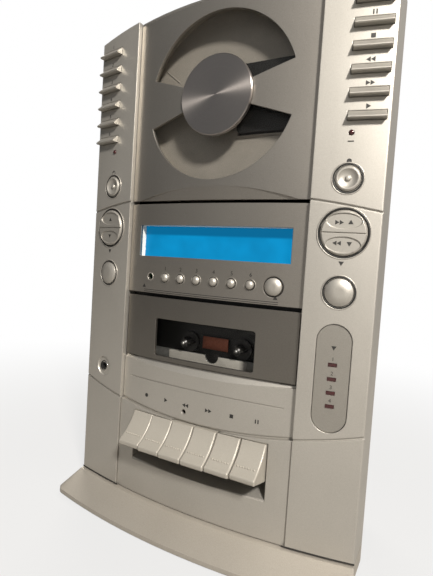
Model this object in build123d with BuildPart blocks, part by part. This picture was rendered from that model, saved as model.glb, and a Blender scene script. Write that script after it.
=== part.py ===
"""Upright compact-disc and cassette player with a bowed front, on a flared foot.

Millimetres. X runs to the right seen from the front, Y into the player, Z up.
The origin is on the table, under the middle of the player's outline.
"""
import math
import os

from build123d import *

os.makedirs("parts", exist_ok=True)

# Cabinet
crown_height = 360.5
top_radius = 556.0
body_half_width = 108.6
body_depth = 102.0
bow_radius = 492.0
seam_x = 68.0
centre_sink = 3.4
wall = 2.2
return_wall = 1.6
roof_wall = 1.8
panel_gap = 0.4
return_depth = 38.0
edge_round = 1.0
body_base_height = 12.9
back_margin = 2.5
back_half_width = 88.0
back_top_drop = 32.0
front_inset = 1.0
cabinet_corner = 5.0

# Inner frame, sunk behind the bowed face
frame_sink = 11.2
frame_wall = 2.5
board_sink = 9.4
board_wall = 1.6

# Foot
foot_reach = 24.0
foot_side_flare = 6.0
foot_splay_start = 3.0
foot_top_share = 0.1
foot_inset = 12.0
rim_height = 4.0
foot_top_height = 12.3
foot_corner = 8.0
foot_wall = 3.3
pad_height = 1.0
pad_radius = 7.0
front_pad_x = 100.0

# Arched grooves across the face
groove_width = 1.4
groove_depth = 1.0
upper_groove_crown = 231.9
upper_groove_radius = 519.0
lower_groove_base = 75.1
lower_groove_radius = 406.0

# Disc section
disc_height = 295.8
door_low = 227.8
window_radius = 54.6
arm_half_angle = 18.0
cap_radius = 26.2
cap_proud = 1.5
cap_rim = 3.0
clear_sheet = 1.5
well_radius = 62.0
well_floor_depth = 18.3
well_wall = 2.0
turntable_radius = 15.5
disc_hole_radius = 7.4
disc_seat_depth = 13.8
cd_hinge_height = 237.0
cd_hinge_depth = 13.5
door_open_angle = 50.0
door_swing_low = 222.8
ear_radius = 3.2
ear_gap = 0.4
pin_radius = 1.5
running_gap = 0.08

# Display section
display_low = 161.7
display_high = 225.5
lcd_half_width = 58.1
lcd_low = 188.2
lcd_high = 210.4
lcd_depth = 13.0
preset_height = 173.4
preset_pitch = 13.2
preset_radius = 2.9
memory_x = 48.6
memory_radius = 5.6
sensor_x = -46.6
sensor_radius = 2.4
countersink_depth = 0.7

# Cassette section
cassette_door_low = 114.2
cassette_door_high = 159.0
cassette_door_half_width = 66.5
tape_window_half_width = 38.9
tape_window_low = 117.4
tape_window_high = 144.1
lip_high = 113.4
lip_end_height = 112.0
lip_centre_height = 108.0
tape_hinge_height = 105.6
tape_hinge_depth = 15.0
reel_height = 127.0
reel_pitch = 42.5
reel_tip_depth = 15.0
chassis_depth = 27.0
chassis_wall = 1.5
capstan_x = 12.0
capstan_height = 101.0
flywheel_radius = 22.0
head_travel = 5.0

# Piano keys
apron_sink = 1.2
key_opening_half_width = 53.0
key_opening_low = 37.4
key_opening_high = 74.8
key_pitch = 17.5
key_gap = 0.5
key_nose_reach = 15.5
key_nose_height = 57.5
key_nose_round = 1.3
key_edge_round = 0.9
key_pivot_depth = 34.0
key_pivot_height = 62.0
rod_radius = 1.5

# Side columns of controls
bar_centre_x = 95.9
bar_width = 21.0
bar_height = 5.0
bar_lip = 4.3
bar_top_row_height = 337.7
bar_pitch = 13.02
bar_rows = 6
control_x = 88.3
lamp_height = 265.5
lamp_radius = 1.5
small_knob_height = 239.4
small_knob_radius = 7.3
rocker_height = 208.0
rocker_radius = 13.3
plain_button_height = 173.3
plain_button_radius = 8.2
button_gap = 0.35
button_travel = 1.2
button_stem_end = 5.2
preset_travel = 0.9
rocker_proud = 1.6
rocker_pivot_depth = 5.5
rocker_fulcrum_radius = 1.0
rocker_fulcrum_width = 9.0
jack_x = -88.9
jack_height = 100.4
jack_dimple_radius = 6.8
jack_bore_radius = 1.8
jack_bore_length = 14.0
equalizer_x = 87.9
equalizer_low = 89.1
equalizer_high = 154.6
equalizer_half_width = 10.4
equalizer_sink = 0.8
equalizer_lamp_heights = (130.1, 121.5, 113.2, 105.1)

front_y = (foot_reach - body_depth) / 2
bow_axis_y = front_y + bow_radius
return_y = front_y + return_depth
back_y = front_y + body_depth
back_plate_y = back_y - back_margin
far = 400.0
hair = 0.1


def arch_height(x, inset=0.0):
    """Height of the arched top edge at x, inset mm under the outer surface."""
    return crown_height - top_radius + math.sqrt((top_radius - inset) ** 2 - x ** 2)


def bow_y(x, sink=0.0):
    """Y of the bowed face at x, sink mm behind the side panels' surface."""
    return bow_axis_y - math.sqrt((bow_radius - sink) ** 2 - x ** 2)


def face_plane(x, z, sink=0.0):
    """Plane that touches the bowed face: local X to the right, Y up, Z outward."""
    angle = math.asin(x / bow_radius)
    tangent = (math.cos(angle), math.sin(angle), 0)
    outward = (math.sin(angle), -math.cos(angle), 0)
    return Plane(origin=(x, bow_y(x), z), x_dir=tangent, z_dir=outward).offset(-sink)


def side_profile_plane(x, z, sink=0.0):
    """Plane square to the face and upright: local X outward, local Y up."""
    face = face_plane(x, z, sink)
    return Plane(origin=face.origin, x_dir=face.z_dir, z_dir=-face.x_dir)


def bowed_block(left, right, low, high, front_sink, back_sink):
    """Slice of the bowed face between two depths behind it."""
    middle = (left + right) / 2
    with BuildPart() as block:
        with BuildSketch(Plane.XY.offset(low)):
            with BuildLine():
                ThreePointArc(
                    (left, bow_y(left, front_sink)),
                    (middle, bow_y(middle, front_sink)),
                    (right, bow_y(right, front_sink)),
                )
                Line((right, bow_y(right, front_sink)), (right, bow_y(right, back_sink)))
                ThreePointArc(
                    (right, bow_y(right, back_sink)),
                    (middle, bow_y(middle, back_sink)),
                    (left, bow_y(left, back_sink)),
                )
                Line((left, bow_y(left, back_sink)), (left, bow_y(left, front_sink)))
            make_face()
        extrude(amount=high - low)
    return block.part


def bowed_prism(left, right, low, high, front_sink, rear):
    """Block with a bowed front and a flat rear face at the Y given."""
    middle = (left + right) / 2
    with BuildPart() as block:
        with BuildSketch(Plane.XY.offset(low)):
            with BuildLine():
                ThreePointArc(
                    (left, bow_y(left, front_sink)),
                    (middle, bow_y(middle, front_sink)),
                    (right, bow_y(right, front_sink)),
                )
                Polyline(
                    (right, bow_y(right, front_sink)),
                    (right, rear),
                    (left, rear),
                    (left, bow_y(left, front_sink)),
                )
            make_face()
        extrude(amount=high - low)
    return block.part


def arched_block(left, right, low, inset=0.0):
    """Front outline up to the arched top edge, run right through the player in Y."""
    middle = (left + right) / 2
    with BuildPart() as block:
        with BuildSketch(Plane.XZ):
            with BuildLine():
                ThreePointArc(
                    (left, arch_height(left, inset)),
                    (middle, arch_height(middle, inset)),
                    (right, arch_height(right, inset)),
                )
                Polyline(
                    (right, arch_height(right, inset)),
                    (right, low),
                    (left, low),
                    (left, arch_height(left, inset)),
                )
            make_face()
        extrude(amount=far, both=True)
    return block.part


def face_groove(crown, radius, upward, sink):
    """Arched groove tool: a thin ring seen from the front, cut to groove_depth."""
    centre = crown - radius if upward else crown + radius
    with BuildPart() as ring:
        with BuildSketch(Plane.XZ):
            with Locations((0, centre)):
                Circle(radius + groove_width / 2)
                Circle(radius - groove_width / 2, mode=Mode.SUBTRACT)
        extrude(amount=far, both=True)
        add(
            bowed_block(-body_half_width, body_half_width, 0, crown_height, sink - 1, sink + groove_depth),
            mode=Mode.INTERSECT,
        )
    return ring.part


def box_between(low, high):
    """Box from its lowest to its highest corner."""
    size = [b - a for a, b in zip(low, high)]
    centre = [(a + b) / 2 for a, b in zip(low, high)]
    return Box(*size, mode=Mode.PRIVATE).moved(Location(centre))


def rod_x(left, right, depth, height, radius):
    """Round rod along X at a depth behind the front and a height."""
    plane = Plane(origin=(left, front_y + depth, height), x_dir=(0, 1, 0), z_dir=(1, 0, 0))
    with BuildPart() as rod:
        with BuildSketch(plane):
            Circle(radius)
        extrude(amount=right - left)
    return rod.part


def rod_y(x, height, front, rear, radius):
    """Round rod along Y between two depths behind the front."""
    with BuildPart() as rod:
        with BuildSketch(Plane.XZ.offset(-(front_y + front))):
            with Locations((x, height)):
                Circle(radius)
        extrude(amount=front - rear)
    return rod.part


# Side panels: face, side return, arched top wall, bottom wall and the seam wall


def side_panel_blank():
    """Right-hand side panel before its holes."""
    inner_x = body_half_width - return_wall
    with BuildPart() as blank:
        add(bowed_prism(seam_x, body_half_width, body_base_height, crown_height, 0, return_y))
        corner = blank.edges().filter_by(Axis.Z).sort_by(Axis.X)[-2:].sort_by(Axis.Y)[0]
        fillet(corner, edge_round)
        add(arched_block(seam_x, body_half_width, body_base_height), mode=Mode.INTERSECT)
        with BuildPart(mode=Mode.PRIVATE) as hollow:
            add(bowed_prism(seam_x + wall, inner_x, 0, crown_height, wall, return_y + 1))
            behind_seam = bowed_prism(
                seam_x - 1, inner_x, 0, crown_height, frame_sink - hair, return_y + 1
            )
            add(behind_seam)
            add(
                arched_block(seam_x - 1, inner_x, body_base_height + wall, wall),
                mode=Mode.INTERSECT,
            )
        add(hollow.part, mode=Mode.SUBTRACT)
        add(
            face_groove(upper_groove_crown, upper_groove_radius, True, 0),
            mode=Mode.SUBTRACT,
        )
        add(
            face_groove(lower_groove_base, lower_groove_radius, False, 0),
            mode=Mode.SUBTRACT,
        )
    return blank.part


def bar_heights():
    """Heights of the lower lips of one column of bar buttons, from the top."""
    return [bar_top_row_height - bar_pitch * row for row in range(bar_rows)]


right_blank = side_panel_blank()
left_blank = mirror(right_blank, about=Plane.YZ)


def column_cutter(side):
    """Openings that both side panels have, for the side given as 1 or -1."""
    x = side * control_x
    holes = (
        (lamp_height, lamp_radius + hair),
        (small_knob_height, small_knob_radius + button_gap),
        (rocker_height, rocker_radius + 2 * button_gap),
        (plain_button_height, plain_button_radius + button_gap),
    )
    with BuildPart() as cutter:
        for height, radius in holes:
            with BuildSketch(face_plane(x, height)):
                Circle(radius)
            extrude(amount=wall * 2, both=True)
        for low in bar_heights():
            with BuildSketch(face_plane(side * bar_centre_x, low + bar_height / 2)):
                Rectangle(bar_width + 2 * button_gap, bar_height + 2 * button_gap)
            extrude(amount=wall * 2, both=True)
    return cutter.part


with BuildPart() as left_side_panel:
    add(left_blank)
    add(column_cutter(-1), mode=Mode.SUBTRACT)
    with BuildSketch(face_plane(jack_x, jack_height, 1.0)):
        Circle(jack_dimple_radius)
    extrude(amount=5, taper=-30, mode=Mode.SUBTRACT)
    add(rod_y(jack_x, jack_height, -5, 20, 4.0 + hair), mode=Mode.SUBTRACT)
left_side_panel.part.label = "left_side_panel"
export_step(left_side_panel.part, "parts/left_side_panel.step")

equalizer_middle = (equalizer_low + equalizer_high) / 2
equalizer_length = equalizer_high - equalizer_low

with BuildPart() as right_side_panel:
    add(right_blank)
    add(column_cutter(1), mode=Mode.SUBTRACT)
    with BuildSketch(face_plane(equalizer_x, equalizer_middle)):
        SlotOverall(equalizer_length, 2 * equalizer_half_width, rotation=90)
    extrude(amount=wall * 2, both=True, mode=Mode.SUBTRACT)
right_side_panel.part.label = "right_side_panel"
export_step(right_side_panel.part, "parts/right_side_panel.step")

# Equalizer plate: a pill-shaped inlay with four lamp slots and a flange behind

slot_width = 5.0
slot_height = 2.0
with BuildPart() as equalizer_plate:
    with BuildSketch(face_plane(equalizer_x, equalizer_middle, equalizer_sink)):
        SlotOverall(equalizer_length - 2 * button_gap, 2 * (equalizer_half_width - button_gap), rotation=90)
    extrude(amount=-(wall + 0.7 - equalizer_sink))
    with BuildSketch(face_plane(equalizer_x, equalizer_middle, wall + 0.6)):
        SlotOverall(equalizer_length + 4, 2 * equalizer_half_width + 4, rotation=90)
    extrude(amount=-1.4)
    for height in equalizer_lamp_heights:
        with BuildSketch(face_plane(equalizer_x, height, equalizer_sink)):
            Rectangle(slot_width + 2 * hair, slot_height + 2 * hair)
        extrude(amount=2 * wall, both=True, mode=Mode.SUBTRACT)
equalizer_plate.part.label = "equalizer_plate"
export_step(equalizer_plate.part, "parts/equalizer_plate.step")

# Indicator lenses: two round lamps and the four slots of the equalizer plate

lamp_proud = 1.0


def lamp_lens(x):
    """Round lamp with a domed end, from its board out through the panel."""
    shoulder = lamp_proud - 0.8
    with BuildPart() as lens:
        with BuildSketch(Plane.XZ):
            with BuildLine():
                ThreePointArc(
                    (lamp_radius, shoulder),
                    (lamp_radius * 0.8, shoulder + 0.5),
                    (lamp_radius * 0.3, lamp_proud),
                )
                Polyline(
                    (lamp_radius * 0.3, lamp_proud),
                    (0, lamp_proud),
                    (0, hair - board_sink),
                    (lamp_radius, hair - board_sink),
                    (lamp_radius, shoulder),
                )
            make_face()
        revolve(axis=Axis.Z)
    return lens.part.moved(face_plane(x, lamp_height).location)


with BuildPart() as indicator_lenses:
    for side in (-1, 1):
        add(lamp_lens(side * control_x))
    for height in equalizer_lamp_heights:
        with BuildSketch(face_plane(equalizer_x, height, board_sink - hair)):
            Rectangle(slot_width, slot_height)
        extrude(amount=board_sink - hair - equalizer_sink + 0.3)
indicator_lenses.part.label = "indicator_lenses"
export_step(indicator_lenses.part, "parts/indicator_lenses.step")

# Bar buttons: wedges whose faces lean out to an overhanging lower lip


def bar_button(side, low):
    """One bar button of the column on the side given as 1 or -1."""
    plane = side_profile_plane(side * bar_centre_x, low)
    flange = wall + 0.6
    with BuildPart() as button:
        with BuildSketch(plane):
            with BuildLine():
                Polyline(
                    (-flange, 0),
                    (bar_lip - 0.6, 0),
                    (bar_lip, 0.5),
                    (bar_lip, 1.0),
                    (0.15, bar_height),
                    (-flange, bar_height),
                    close=True,
                )
            make_face()
        extrude(amount=bar_width / 2, both=True)
        with BuildSketch(plane):
            with Locations((-flange - 0.6, bar_height / 2)):
                Rectangle(1.2, bar_height + 2)
        extrude(amount=bar_width / 2, both=True)
        with BuildSketch(face_plane(side * bar_centre_x, low + bar_height / 2, button_stem_end)):
            Circle(1.6)
        extrude(amount=button_stem_end - flange)
    return button.part


for side, side_name in ((-1, "left"), (1, "right")):
    for row, low in enumerate(bar_heights(), start=1):
        bar = bar_button(side, low)
        bar.label = f"{side_name}_bar_button_{row}"
        export_step(bar, f"parts/{side_name}_bar_button_{row}.step")

# Round buttons, turned about their own axes


def turned_button(x, z, sink, radius, rim, crown, flange_depth, stem_end):
    """Domed push button: rim and crown are heights above the face it stands in."""
    with BuildPart() as button:
        with BuildSketch(Plane.XZ):
            with BuildLine():
                Polyline(
                    (0, crown),
                    (0, -stem_end),
                    (min(2.0, radius * 0.6), -stem_end),
                    (min(2.0, radius * 0.6), -flange_depth - 0.8),
                    (radius + 0.8, -flange_depth - 0.8),
                    (radius + 0.8, -flange_depth),
                    (radius, -flange_depth),
                    (radius, rim),
                )
                ThreePointArc(
                    (radius, rim),
                    (radius * 0.75, rim + (crown - rim) * 0.6),
                    (radius * 0.3, crown),
                )
                Line((radius * 0.3, crown), (0, crown))
            make_face()
        revolve(axis=Axis.Z)
    return button.part.moved(face_plane(x, z, sink).location)


def nub_button(x, z):
    """Small round button with a dished face and a nub in its middle."""
    radius = small_knob_radius
    flange_depth = wall + 0.4
    with BuildPart() as button:
        with BuildSketch(Plane.XZ):
            with BuildLine():
                Polyline(
                    (0.7, 0.9),
                    (0, 0.9),
                    (0, -button_stem_end),
                    (2, -button_stem_end),
                    (2, -flange_depth - 0.8),
                    (radius + 0.8, -flange_depth - 0.8),
                    (radius + 0.8, -flange_depth),
                    (radius, -flange_depth),
                    (radius, 0.5),
                    (radius - 0.9, 1.3),
                    (radius - 1.7, 1.3),
                )
                ThreePointArc((radius - 1.7, 1.3), (3.4, 0.1), (1.7, -0.1))
                ThreePointArc((1.7, -0.1), (1.4, 0.55), (0.7, 0.9))
            make_face()
        revolve(axis=Axis.Z)
    return button.part.moved(face_plane(x, z).location)


for side, name in ((-1, "power_button"), (1, "alarm_button")):
    knob = nub_button(side * control_x, small_knob_height)
    knob.label = name
    export_step(knob, f"parts/{name}.step")

for side, name in ((-1, "band_button"), (1, "equalizer_button")):
    plain = turned_button(
        side * control_x, plain_button_height, 0, plain_button_radius, 0.6, 2.4, wall + 0.4, button_stem_end
    )
    plain.label = name
    export_step(plain, f"parts/{name}.step")

preset_flange = wall + 0.3
preset_stem = 3.7
for number in range(1, 7):
    preset = turned_button(
        (number - 3.5) * preset_pitch,
        preset_height,
        centre_sink,
        preset_radius,
        0.9,
        2.4,
        preset_flange,
        preset_stem,
    )
    preset.label = f"preset_button_{number}"
    export_step(preset, f"parts/preset_button_{number}.step")

memory_button = turned_button(
    memory_x, preset_height, centre_sink, memory_radius, 0.9, 2.6, preset_flange, preset_stem
)
memory_button.label = "memory_button"
export_step(memory_button, "parts/memory_button.step")

# Rocker buttons: a disc split across its middle, each half dished


def rocker_button(x):
    """Round two-way rocker that tips about the level line through its middle."""
    face = face_plane(x, rocker_height)
    flange = wall + 1.2
    with BuildPart() as rocker:
        with BuildSketch(face.offset(-flange)):
            Circle(rocker_radius)
        extrude(amount=flange + rocker_proud)
        chamfer(rocker.edges().filter_by(GeomType.CIRCLE).sort_by(Axis.Y)[0], 1.0)
        with BuildSketch(face.offset(-flange - 1.2)):
            Circle(rocker_radius + 1.2)
        extrude(amount=1.2)
        with BuildSketch(face.offset(rocker_proud - 0.7)):
            for up in (-1, 1):
                with Locations((0, up * (rocker_radius / 2 + 0.2))):
                    Ellipse(rocker_radius * 0.74, rocker_radius * 0.33)
        extrude(amount=2, taper=-20, mode=Mode.SUBTRACT)
        with BuildSketch(face.offset(rocker_proud - 0.6)):
            Rectangle(2 * rocker_radius, 0.7)
        extrude(amount=2, mode=Mode.SUBTRACT)
        with BuildSketch(face.offset(-rocker_pivot_depth)):
            Rectangle(rocker_fulcrum_width, 2 * rocker_fulcrum_radius)
        extrude(amount=rocker_pivot_depth - flange)
        with Locations(face.offset(-rocker_pivot_depth).location):
            Cylinder(rocker_fulcrum_radius, rocker_fulcrum_width, rotation=(0, 90, 0))
    return rocker.part


for side, name in ((-1, "volume_rocker"), (1, "tuning_rocker")):
    rocker_part = rocker_button(side * control_x)
    rocker_part.label = name
    export_step(rocker_part, f"parts/{name}.step")

# Headphone jack: round nose in the left panel, square body behind it

jack_body_depth = jack_bore_length + 4
with BuildPart() as headphone_jack:
    jack_face_depth = bow_y(jack_x) - front_y + 1.0
    add(rod_y(jack_x, jack_height, jack_face_depth, jack_face_depth + 6, 4.0))
    add(
        box_between(
            (jack_x - 5, front_y + jack_face_depth + 3.6, jack_height - 5),
            (jack_x + 5, front_y + jack_face_depth + jack_body_depth, jack_height + 5),
        )
    )
    add(
        rod_y(jack_x, jack_height, jack_face_depth - 1, jack_face_depth + jack_bore_length, jack_bore_radius),
        mode=Mode.SUBTRACT,
    )
headphone_jack.part.label = "headphone_jack"
export_step(headphone_jack.part, "parts/headphone_jack.step")

# Display panel: sunk bowed plate with the display window and the preset row

centre_half_width = seam_x - panel_gap
centre_back_sink = centre_sink + wall
rib = 2.0

with BuildPart() as display_panel:
    add(
        bowed_block(
            -centre_half_width, centre_half_width, display_low, display_high, centre_sink, centre_back_sink
        )
    )
    for left in (-centre_half_width, centre_half_width - rib):
        add(bowed_block(left, left + rib, display_low, display_high - 6, centre_sink, frame_sink - hair))
    window = box_between(
        (-lcd_half_width, front_y - 5, lcd_low), (lcd_half_width, front_y + 30, lcd_high)
    )
    add(window, mode=Mode.SUBTRACT)
    preset_xs = [(number - 3.5) * preset_pitch for number in range(1, 7)]
    round_holes = [(x, preset_radius + button_gap) for x in preset_xs]
    round_holes += [(memory_x, memory_radius + button_gap), (sensor_x, sensor_radius)]
    for x, radius in round_holes:
        with BuildSketch(face_plane(x, preset_height, centre_sink)):
            Circle(radius)
        extrude(amount=2 * wall, both=True, mode=Mode.SUBTRACT)
        with BuildSketch(face_plane(x, preset_height, centre_sink + countersink_depth)):
            Circle(radius)
        extrude(amount=2 * countersink_depth, taper=-45, mode=Mode.SUBTRACT)
    top_edges = display_panel.edges().group_by(Axis.Z)[-1].filter_by(GeomType.CIRCLE)
    chamfer(top_edges.sort_by(SortBy.LENGTH)[-1], 1.2)
display_panel.part.label = "display_panel"
export_step(display_panel.part, "parts/display_panel.step")

# Display: white reflector frame with the blue glass seated in it

lcd_rim = 2.2
with BuildPart() as lcd_frame:
    add(
        box_between(
            (-lcd_half_width - lcd_rim, front_y, lcd_low - lcd_rim),
            (lcd_half_width + lcd_rim, front_y + lcd_depth + 4, lcd_high + lcd_rim),
        )
    )
    add(
        box_between(
            (-lcd_half_width, front_y - 1, lcd_low), (lcd_half_width, front_y + lcd_depth + 2, lcd_high)
        ),
        mode=Mode.SUBTRACT,
    )
    add(
        bowed_block(-far / 4, far / 4, 0, crown_height, -5, centre_back_sink + hair),
        mode=Mode.SUBTRACT,
    )
lcd_frame.part.label = "lcd_frame"
export_step(lcd_frame.part, "parts/lcd_frame.step")

with BuildPart() as lcd_glass:
    add(
        box_between(
            (-lcd_half_width + hair, front_y + lcd_depth, lcd_low + hair),
            (lcd_half_width - hair, front_y + lcd_depth + 2, lcd_high - hair),
        )
    )
lcd_glass.part.label = "lcd_glass"
export_step(lcd_glass.part, "parts/lcd_glass.step")

# Disc door: sunk bowed plate with two window arcs parted by two arms

cap_face_depth = centre_sink - cap_proud
cap_hub_radius = 9.0


def window_arcs():
    """The two arc-shaped windows, seen from the front."""
    reach = window_radius + 20
    spread = math.tan(math.radians(arm_half_angle)) * reach
    with BuildSketch(Plane.XZ) as arcs:
        with Locations((0, disc_height)):
            Circle(window_radius)
        arm = [
            (-reach, disc_height - spread),
            (0, disc_height),
            (-reach, disc_height + spread),
        ]
        for side in (-1, 1):
            with BuildLine():
                Polyline(*[(side * x, z) for x, z in arm], close=True)
            make_face(mode=Mode.SUBTRACT)
        with Locations((0, disc_height)):
            Circle(cap_radius - 4, mode=Mode.SUBTRACT)
    return arcs.sketch


scoop_height = 9.0
scoop_depth = 1.4
scoop_half_width = 60.0


with BuildPart() as scoop_tool:
    with BuildSketch(Plane.XZ):
        with BuildLine():
            ThreePointArc(
                (-scoop_half_width, door_low),
                (0, door_low + scoop_height),
                (scoop_half_width, door_low),
            )
            Line((scoop_half_width, door_low), (-scoop_half_width, door_low))
        make_face()
    extrude(amount=far, both=True)
    with BuildSketch(Plane.XY.offset(door_low - 1)):
        with Locations((0, bow_axis_y)):
            Circle(bow_radius - centre_sink + 5)
    extrude(amount=scoop_height + 2, mode=Mode.INTERSECT)
    with BuildSketch(Plane.XY.offset(door_low)):
        with Locations((0, bow_axis_y)):
            Circle(bow_radius - centre_sink - scoop_depth)
    with BuildSketch(Plane.XY.offset(door_low + scoop_height)):
        with Locations((0, bow_axis_y)):
            Circle(bow_radius - centre_sink)
    loft(ruled=True, mode=Mode.SUBTRACT)

ear_inner_x = 61.9
ear_outer_x = 64.6
with BuildPart() as cd_door:
    add(
        bowed_block(
            -centre_half_width, centre_half_width, door_low, crown_height, centre_sink, centre_back_sink
        )
    )
    add(
        arched_block(-centre_half_width, centre_half_width, door_low, roof_wall + panel_gap),
        mode=Mode.INTERSECT,
    )
    extrude(window_arcs(), amount=far, both=True, mode=Mode.SUBTRACT)
    add(rod_y(0, disc_height, 0, 20, cap_hub_radius + hair), mode=Mode.SUBTRACT)
    add(scoop_tool.part, mode=Mode.SUBTRACT)
    for side in (-1, 1):
        inner, outer = sorted((side * ear_inner_x, side * ear_outer_x))
        add(
            box_between(
                (inner, bow_y(ear_inner_x, centre_sink + wall / 2), cd_hinge_height - ear_radius),
                (outer, front_y + cd_hinge_depth, cd_hinge_height + ear_radius),
            )
        )
        add(rod_x(inner, outer, cd_hinge_depth, cd_hinge_height, ear_radius))
        left, right = sorted((side * ear_inner_x, side * (centre_half_width - 0.6)))
        add(rod_x(left, right, cd_hinge_depth, cd_hinge_height, pin_radius))
cd_door.part.label = "cd_door"
export_step(cd_door.part, "parts/cd_door.step")

# Clear sheet behind the door, and the cap with the disc clamp behind it

with BuildPart() as cd_door_window:
    add(
        bowed_block(
            -window_radius - 4,
            window_radius + 4,
            disc_height - window_radius - 4,
            disc_height + window_radius + 4,
            centre_back_sink + hair,
            centre_back_sink + hair + clear_sheet,
        )
    )
    with BuildSketch(Plane.XZ):
        with Locations((0, disc_height)):
            Circle(window_radius + 3)
    extrude(amount=far, both=True, mode=Mode.INTERSECT)
    with BuildSketch(Plane.XZ):
        with Locations((0, disc_height)):
            Circle(10)
    extrude(amount=far, both=True, mode=Mode.SUBTRACT)
cd_door_window.part.label = "cd_door_window"
export_step(cd_door_window.part, "parts/cd_door_window.step")

clamp_face_depth = disc_seat_depth - 1.5
with BuildPart() as cd_door_cap:
    add(rod_y(0, disc_height, cap_face_depth, centre_sink - hair, cap_radius))
    chamfer(cd_door_cap.edges().filter_by(GeomType.CIRCLE).sort_by(Axis.Y)[0], 0.5)
with BuildPart() as cap_skirt:
    extrude(window_arcs(), amount=far, both=True)
    add(
        rod_y(0, disc_height, centre_sink - 2 * hair, cap_face_depth + cap_rim, cap_radius),
        mode=Mode.INTERSECT,
    )
    add(rod_y(0, disc_height, 0, 20, cap_radius - 3), mode=Mode.SUBTRACT)
with BuildPart() as cd_door_hub:
    add(rod_y(0, disc_height, centre_sink - hair, clamp_face_depth - 2.5, cap_hub_radius))
    add(rod_y(0, disc_height, clamp_face_depth - 3, clamp_face_depth, 14.0))
    add(rod_y(0, disc_height, clamp_face_depth - 2, clamp_face_depth + 1, 9.0), mode=Mode.SUBTRACT)
with BuildPart() as cd_door_cap_and_clamp:
    add(cd_door_cap.part)
    add(cap_skirt.part)
    add(cd_door_hub.part)
cd_door_cap_and_clamp.part.label = "cd_door_cap"
export_step(cd_door_cap_and_clamp.part, "parts/cd_door_cap.step")

# Disc well: tray with a round dish, seated in the inner frame from behind

well_low = door_low + 1.5
well_half_width = centre_half_width - 0.4
well_flange = 4.0
well_back_depth = well_floor_depth + well_wall + 0.4
deck_opening = (10.5, 56.5, 23.0)
hinge_boss_radius = pin_radius + running_gap + 1.0
door_back_depth = bow_y(well_half_width, centre_back_sink) - front_y
swing_reach = cd_hinge_depth - door_back_depth - ear_gap
swing = math.radians(door_open_angle)
swing_point = (
    front_y + cd_hinge_depth - swing_reach * math.cos(swing),
    cd_hinge_height - swing_reach * math.sin(swing),
)
with BuildPart() as cd_well:
    add(
        bowed_prism(
            -well_half_width,
            well_half_width,
            well_low,
            crown_height,
            centre_back_sink + clear_sheet + 1.0,
            front_y + well_back_depth,
        )
    )
    add(
        box_between(
            (-well_half_width - well_flange, front_y + well_back_depth - 1.2, well_low),
            (well_half_width + well_flange, front_y + well_back_depth, crown_height),
        )
    )
    add(
        arched_block(
            -well_half_width - well_flange, well_half_width + well_flange, well_low, wall + hair
        ),
        mode=Mode.INTERSECT,
    )
    add(rod_y(0, disc_height, -5, well_floor_depth, well_radius), mode=Mode.SUBTRACT)
    add(rod_y(0, disc_height, 0, well_back_depth + 1, turntable_radius + 3), mode=Mode.SUBTRACT)
    deck_left, deck_right, deck_half_height = deck_opening
    add(
        box_between(
            (deck_left, front_y, disc_height - deck_half_height),
            (deck_right, front_y + well_back_depth + 1, disc_height + deck_half_height),
        ),
        mode=Mode.SUBTRACT,
    )
    add(
        box_between(
            (-ear_outer_x - ear_gap, front_y - 1, well_low - 1),
            (
                ear_outer_x + ear_gap,
                front_y + cd_hinge_depth + ear_radius + ear_gap,
                cd_hinge_height + 2 * ear_radius + ear_gap,
            ),
        ),
        mode=Mode.SUBTRACT,
    )
    for side in (-1, 1):
        inner, outer = sorted((side * (ear_outer_x + ear_gap), side * well_half_width))
        add(rod_x(inner, outer, cd_hinge_depth, cd_hinge_height, hinge_boss_radius))
    with BuildSketch(Plane.YZ):
        with Locations(swing_point):
            Rectangle(24, 20, rotation=door_open_angle - 90, align=(Align.CENTER, Align.MAX))
    extrude(amount=well_half_width + well_flange, both=True, mode=Mode.SUBTRACT)
    add(
        rod_x(
            -well_half_width - 1, well_half_width + 1, cd_hinge_depth, cd_hinge_height,
            pin_radius + running_gap,
        ),
        mode=Mode.SUBTRACT,
    )
cd_well.part.label = "cd_well"
export_step(cd_well.part, "parts/cd_well.step")

# Disc mechanism: deck plate with a raised cover, turntable, spindle motor can and pickup

deck_front_depth = 14.6
deck_plate_depth = well_back_depth + 1.2
slot_half_height = 9.0
pickup_rest_x = 17.2
pickup_width = 12.0
with BuildPart() as cd_deck:
    add(
        box_between(
            (-44, front_y + deck_plate_depth, disc_height - 36),
            (62, front_y + deck_plate_depth + 2, disc_height + 36),
        )
    )
    add(
        box_between(
            (deck_left + 0.5, front_y + deck_front_depth, disc_height - deck_half_height + 0.5),
            (deck_right - 0.5, front_y + deck_plate_depth, disc_height + deck_half_height - 0.5),
        )
    )
    cover_corners = cd_deck.edges().filter_by(Axis.Y).group_by(Axis.Y)[0]
    fillet(cover_corners, 3.0)
    add(
        rod_y(0, disc_height, 0, deck_plate_depth, turntable_radius + 1.0),
        mode=Mode.SUBTRACT,
    )
    add(rod_y(0, disc_height, deck_plate_depth, deck_plate_depth + 18, 12.0))
    for x in (-40, 58):
        for z in (disc_height - 32, disc_height + 32):
            add(rod_y(x, z, well_back_depth + hair, deck_plate_depth, 3.0))
    add(
        box_between(
            (pickup_rest_x - 0.5, front_y + deck_front_depth - 1, disc_height - slot_half_height),
            (
                deck_right - 2,
                front_y + deck_plate_depth + 5,
                disc_height + slot_half_height,
            ),
        ),
        mode=Mode.SUBTRACT,
    )
    add(rod_y(0, disc_height, 0, deck_plate_depth + 14, 1.0 + running_gap), mode=Mode.SUBTRACT)
cd_deck.part.label = "cd_deck"
export_step(cd_deck.part, "parts/cd_deck.step")

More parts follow.
